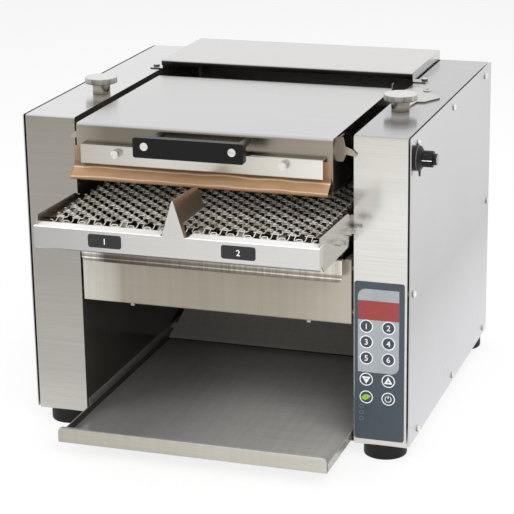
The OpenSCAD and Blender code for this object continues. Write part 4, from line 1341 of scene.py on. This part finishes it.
@dataclass
class Keypad(Assembly):
    """The membrane keypad: slate film, light field, red window, ten keys and three lamps."""

    face: float = -1.0
    key_face: float = -1.6
    field_box: tuple[float, ...] = (225.5, 141.0, 288.5, 272.0)
    field_radii: tuple[float, ...] = (1, 12, 1, 12)
    window_box: tuple[float, ...] = (226.0, 224.0, 288.0, 254.0)
    window_radius: float = 0.3
    window_gap: float = 0.4
    window_depth: float = 0.2
    columns: Point2 = (238.5, 272.5)
    rows: tuple[float, ...] = (213.5, 189.0, 163.5, 129.5, 101.0)
    key_ring: Point2 = (8.75, 10.3)
    hole_r: float = 8.7
    lamp_x: float = 231.0
    lamp_rows: tuple[float, ...] = (85.5, 75.75, 66.0)
    lamp_ring: Point2 = (2.6, 3.3)
    ink: float = 0.08
    triangle: tuple[Point2, ...] = ((-6.6, -4.4), (6.6, -4.4), (0.0, 6.8))
    plus: Point2 = (2.2, 0.55)
    minus: Point2 = (2.3, 0.6)
    sign_drop: float = 1.1
    power_ring: Point2 = (5.2, 4.1)
    power_gap: int = 28
    power_bar: Point3 = (0.6, 0.6, 6.0)

    def film(self, name: str, loops: Sequence[np.ndarray], y: float, material: Material,
             body: str = "base") -> None:
        """Adds one printed shape, a thin plate cut along its loops."""
        self.stick(name, sheet_outline(loops, self.ink), 0, y, 0, material, body)

    def stick(self, name: str, shape: Shape, x: float, y: float, z: float, material: Material,
              body: str) -> None:
        """Sticks a thin plate on the keypad, with its back at y."""
        add_piece(name, facing_front(shape, x, y, z), body, material, Edge.SHARP)

    def ring(self, name: str, at: Point2, radii: Point2, y: float, material: Material) -> None:
        """Adds a printed ring between an inner and an outer radius."""
        self.film(name, [circle(*at, radii[1]), circle(*at, radii[0])], y, material)

    def build(self) -> None:
        """Adds the printed field, window, rings, numbers, signs and lamp rings."""
        white, pale = ink("ink_white", (226, 228, 230)), ink("ink_pale", (152, 157, 161))
        red = Moulded("window_red", (143, 46, 47), rough=0.25, dust=0.0, coat=0.15).material()
        keys = [(x, z) for z in self.rows for x in self.columns]
        holes = [circle(x, z, self.hole_r) for x, z in keys[:6]]
        x0, z0, x1, z1 = self.window_box
        opening = round_box(x0 - self.window_gap, z0, x1 + self.window_gap, z1, self.window_radius)
        field = round_box(*self.field_box, self.field_radii)
        self.film("keypad_field", [field, opening, *holes], self.face, pale)
        window = round_box(*self.window_box, self.window_radius)
        self.film("keypad_window", [window], self.face + self.window_depth, red)
        for number, at in enumerate(keys, 1):
            self.ring(f"key_ring_{number}", at, self.key_ring, self.face - self.ink, white)
        for number, (x, z) in enumerate(keys[:6], 1):
            digit = text_outline(str(number), self.ink)
            self.stick(f"key_number_{number}", digit, x, self.key_face, z, white, f"key_{number}_body")
        slate = ink("ink_slate", (75, 87, 98))
        self.arrows(keys[6:8], white, slate)
        self.leaf(*keys[8], slate)
        self.power(*keys[9], white)
        grey = ink("ink_grey", (104, 116, 126))
        for number, z in enumerate(self.lamp_rows, 1):
            self.ring(f"lamp_ring_{number}", (self.lamp_x, z), self.lamp_ring, self.face, grey)

    def arrows(self, places: Sequence[Point2], white: Material, slate: Material) -> None:
        """Draws a triangle that points down and holds a minus, and one that points up and holds a plus.

        The plus is one arm's three corners as complex numbers, turned by each power of i.

        Args:
            places: the middles of the two keys.
            white, slate: the inks of the triangles and of the signs.
        """
        reach, half = self.plus
        arm = np.array([complex(reach, -half), complex(reach, half), complex(half, half)])
        plus = np.concatenate([arm * turn for turn in (1, 1j, -1, -1j)])
        reach, half = self.minus
        minus = round_box(-reach, -half, reach, half, 0.1)
        for name, (x, z), sign in zip(("down", "up"), places, (-1, 1)):
            body = f"key_{name}_body"
            triangle = np.array(self.triangle) * (1, sign) + (x, z)
            self.film(f"key_{name}_triangle", [triangle[::sign]], self.key_face, white, body)
            bars = (np.c_[plus.real, plus.imag] if sign > 0 else minus) + (x, z - sign * self.sign_drop)
            self.film(f"key_{name}_sign", [bars], self.key_face - self.ink, slate, body)

    def leaf(self, x: float, z: float, slate: Material) -> None:
        """Draws a leaf: two edges that bow as sines over a rising line, t from stem to tip, with a vein.

        Args:
            x, z: the key's middle.
            slate: the vein's ink.
        """
        t = np.linspace(0, 1, 24)
        green = ink("ink_green", (138, 184, 52))
        stem, length, foot, rise, bow = -7.6, 15.2, -1.8, 4.0, 4.4
        upper = np.c_[stem + length * t, foot + bow * np.sin(math.pi * t ** 0.8) + rise * t]
        lower = np.c_[stem + length * t, foot - bow * np.sin(math.pi * t ** 0.9) + rise * t][::-1]
        self.film("key_eco_leaf", [np.r_[upper, lower[1:-1]] + (x, z)], self.key_face, green, "key_eco_body")
        out = np.c_[-6.0 + 10 * t, -1.5 + 2.4 * t ** 1.3]
        back = np.c_[4.0 - 10 * t, 0.65 - 2.4 * t]
        vein = np.r_[out, back] + (x, z)
        self.film("key_eco_vein", [vein], self.key_face - self.ink, slate, "key_eco_body")

    def power(self, x: float, z: float, white: Material) -> None:
        """Draws the power sign, a ring open at the top with a bar in the gap.

        Args:
            x, z: the key's middle.
            white: the ink.
        """
        a = np.linspace(math.radians(90 + self.power_gap), math.radians(450 - self.power_gap), 40)
        outer, inner = (np.c_[r * np.cos(a), r * np.sin(a)] for r in self.power_ring)
        ring = np.r_[outer, inner[::-1]] + (x, z)
        self.film("key_power_ring", [ring], self.key_face, white, "key_power_body")
        half, foot, top = self.power_bar
        bar = round_box(x - half, z + foot, x + half, z + top, 0.5)
        self.film("key_power_bar", [bar], self.key_face, white, "key_power_body")

    def dress(self) -> None:
        """Slate film for the panel and its ten keys."""
        film = {"pebble": 2600.0, "depth": 0.05, "dust": 0.0}
        dress(Moulded("keypad_slate", (56, 66, 75), rough=0.36, **film), "keypad_panel")
        names = [*"123456", "down", "up", "eco", "power"]
        dress(Moulded("key_slate", (50, 60, 69), rough=0.33, **film), *("key_" + name for name in names))


@dataclass
class SideDial(Assembly):
    """The fluted dial on the right side panel."""

    centre: Point2 = (24.0, 469.0)
    end_x: float = 337.0
    line_box: tuple[float, ...] = (-0.7, -8.0, 0.7, -1.0, 0.4)
    line_ink: float = 0.12
    mark_x: Point2 = (25.0, 5.6)
    mark_half: float = 0.6
    mark_corner: float = 0.2
    mark_depth: float = 1.4
    flute_r: float = 10.5
    collar_r: Point2 = (18.8, 16.8)
    collar_depth: float = 0.7
    collar_back: float = 27.3
    cap_r: float = 7.2
    cap_depth: float = 0.3
    cap_out: float = 0.12

    def build(self) -> None:
        """Adds the dial's white marks on its end and along its front flute, its collar and its cap."""
        y, z = self.centre
        white, grey = ink("dial_ink", (226, 226, 224)), ink("dial_cap", (150, 150, 154))
        chrome = BrightMetal("dial_chrome", (150, 150, 154), (110, 110, 114)).material()
        line = sheet_outline([round_box(*self.line_box)], self.line_ink)
        collar = sheet_outline([circle(0, 0, radius) for radius in self.collar_r], self.collar_depth)
        foot, tip = (self.end_x - back for back in self.mark_x)
        flute = round_box(foot, -self.mark_half, tip, self.mark_half, self.mark_corner)
        mark = sheet_outline([flute], self.mark_depth)
        cap = sheet_outline([circle(0, 0, self.cap_r)], self.cap_depth)
        for name, shape, material in (
            ("dial_line", facing_right(line, self.end_x + self.line_ink / 2, y, z), white),
            ("dial_collar", facing_right(collar, self.end_x - self.collar_back, y, z), chrome),
            ("dial_mark", facing_front(mark, 0, y - self.flute_r, z), white),
            ("dial_cap", facing_right(cap, self.end_x + self.cap_out, y, z), grey),
        ):
            add_piece(name, shape, "dial", material, Edge.SHARP)

    def dress(self) -> None:
        """Matt black mouldings."""
        dress(Moulded("dial_black", (12, 12, 13), rough=0.4, dust=0.04, specular=0.3),
              "dial_bezel", "side_dial")


@dataclass
class Services(Assembly):
    """Control board, cooling fan and the cord entry, all CAD solids inside or behind the right tower."""

    def dress(self) -> None:
        """Green board, black fan and entry."""
        dress(Moulded("board_green", (34, 84, 52), rough=0.5, dust=0.2), "control_board")
        dress(Moulded("fan_black", (26, 26, 27), rough=0.5, dust=0.3), "fan_frame", "fan_rotor", "cord_gland")


@dataclass
class Studio:
    """Camera, lamps, white surroundings and the floor."""

    azimuth: float = 18.65
    elevation: float = 17.57
    roll: float = -0.93
    position: Point3 = (0.93195, -2.8010, 1.176)
    lens: float = 134.9
    sensor: float = 36.0
    aim: Point3 = (0, 0, 0.25)
    soft_light: float = 0.42
    floor_half: float = 12.0
    floor_tone: float = 0.96
    floor_glow: float = 0.8
    lamps: tuple[tuple[str, Point3, float, float], ...] = (
        ("key", (2.2, -2.6, 2.6), 2.4, 105.0),
        ("fill", (-2.8, -2.0, 1.7), 2.2, 42.0),
        ("top", (0.0, 0.4, 3.2), 2.6, 55.0),
        ("low", (0.6, -2.4, 0.34), 1.0, 9.0),
    )

    def camera(self) -> None:
        """Sets the camera where the photograph was taken from.

        The camera's back points along (sin az cos el, -cos az cos el, sin el); right is up times back, and
        both are turned by the roll.
        """
        az, el, roll = map(math.radians, (self.azimuth, self.elevation, self.roll))
        back = Vector((math.sin(az) * math.cos(el), -math.cos(az) * math.cos(el), math.sin(el)))
        right = Vector((0, 0, 1)).cross(back).normalized()
        up = back.cross(right)
        across = right * math.cos(roll) + up * math.sin(roll)
        over = up * math.cos(roll) - right * math.sin(roll)
        data = bpy.data.cameras.new("camera")
        data.lens, data.sensor_width = self.lens, self.sensor
        camera = bpy.data.objects.new("camera", data)
        turned = Matrix((across, over, back)).transposed().to_4x4()
        camera.matrix_world = Matrix.Translation(self.position) @ turned
        bpy.context.scene.collection.objects.link(camera)
        bpy.context.scene.camera = camera

    def lights(self) -> None:
        """Adds broad square lamps that look at the machine's middle and don't show as spots in the steel."""
        for name, place, size, power in self.lamps:
            data = bpy.data.lights.new(name, "AREA")
            data.size, data.energy = size, power
            lamp = bpy.data.objects.new(name, data)
            lamp.location = place
            lamp.rotation_euler = (Vector(place) - Vector(self.aim)).to_track_quat("Z", "Y").to_euler()
            lamp.visible_glossy = False
            bpy.context.scene.collection.objects.link(lamp)

    def surroundings(self) -> None:
        """A white world for the camera and for reflections, and a grey one as soft light."""
        world = bpy.data.worlds.new("studio")
        world.use_nodes = True
        bpy.context.scene.world = world
        tree = Tree(world.node_tree)
        light = tree.add("Background", Color=WHITE, Strength=tree.span(tree.seen(), self.soft_light))
        tree.add("OutputWorld", Surface=light.outputs[0])

    def floor(self) -> None:
        """A wide pale floor, whose own white hides its edges and keeps a share of the shadow."""
        mesh = bpy.data.meshes.new("floor")
        half = self.floor_half
        corners = [(-half, -half, 0.0), (half, -half, 0.0), (half, half, 0.0), (-half, half, 0.0)]
        mesh.from_pydata(corners, [], [(0, 1, 2, 3)])
        floor = bpy.data.objects.new("floor", mesh)
        bpy.context.scene.collection.objects.link(floor)
        material = bpy.data.materials.new("floor_white")
        material.use_nodes = True
        tree = Tree(material.node_tree)
        matt = tree.add("BsdfDiffuse", Color=tree.span(tree.noise(scale=3.0, detail=2.0), self.floor_tone))
        glow = tree.add("Emission", Color=WHITE, Strength=1.0)
        mix = tree.add("MixShader", Fac=tree.math("MULTIPLY", tree.seen(), self.floor_glow))
        tree.join(mix.inputs[1], matt.outputs[0])
        tree.join(mix.inputs[2], glow.outputs[0])
        tree.add("OutputMaterial", Surface=mix.outputs[0])
        mesh.materials.append(material)

    def build(self) -> None:
        """Sets everything up and the plain view transform."""
        self.camera()
        self.lights()
        self.surroundings()
        self.floor()
        bpy.context.scene.view_settings.view_transform = "Standard"


def main() -> None:
    """Builds and dresses the sub-assemblies in order."""
    logging.basicConfig(level=logging.INFO, format="%(message)s")
    Studio().build()
    parts: tuple[Assembly, ...] = (Cabinet(), Head(), HeightControls(), Infeed(), Conveyor(), Trays(),
                                   Keypad(), SideDial(), Services())
    for part in parts:
        part.build()
        part.dress()
        LOG.info("%s done", type(part).__name__)


if __name__ == "__main__":
    main()
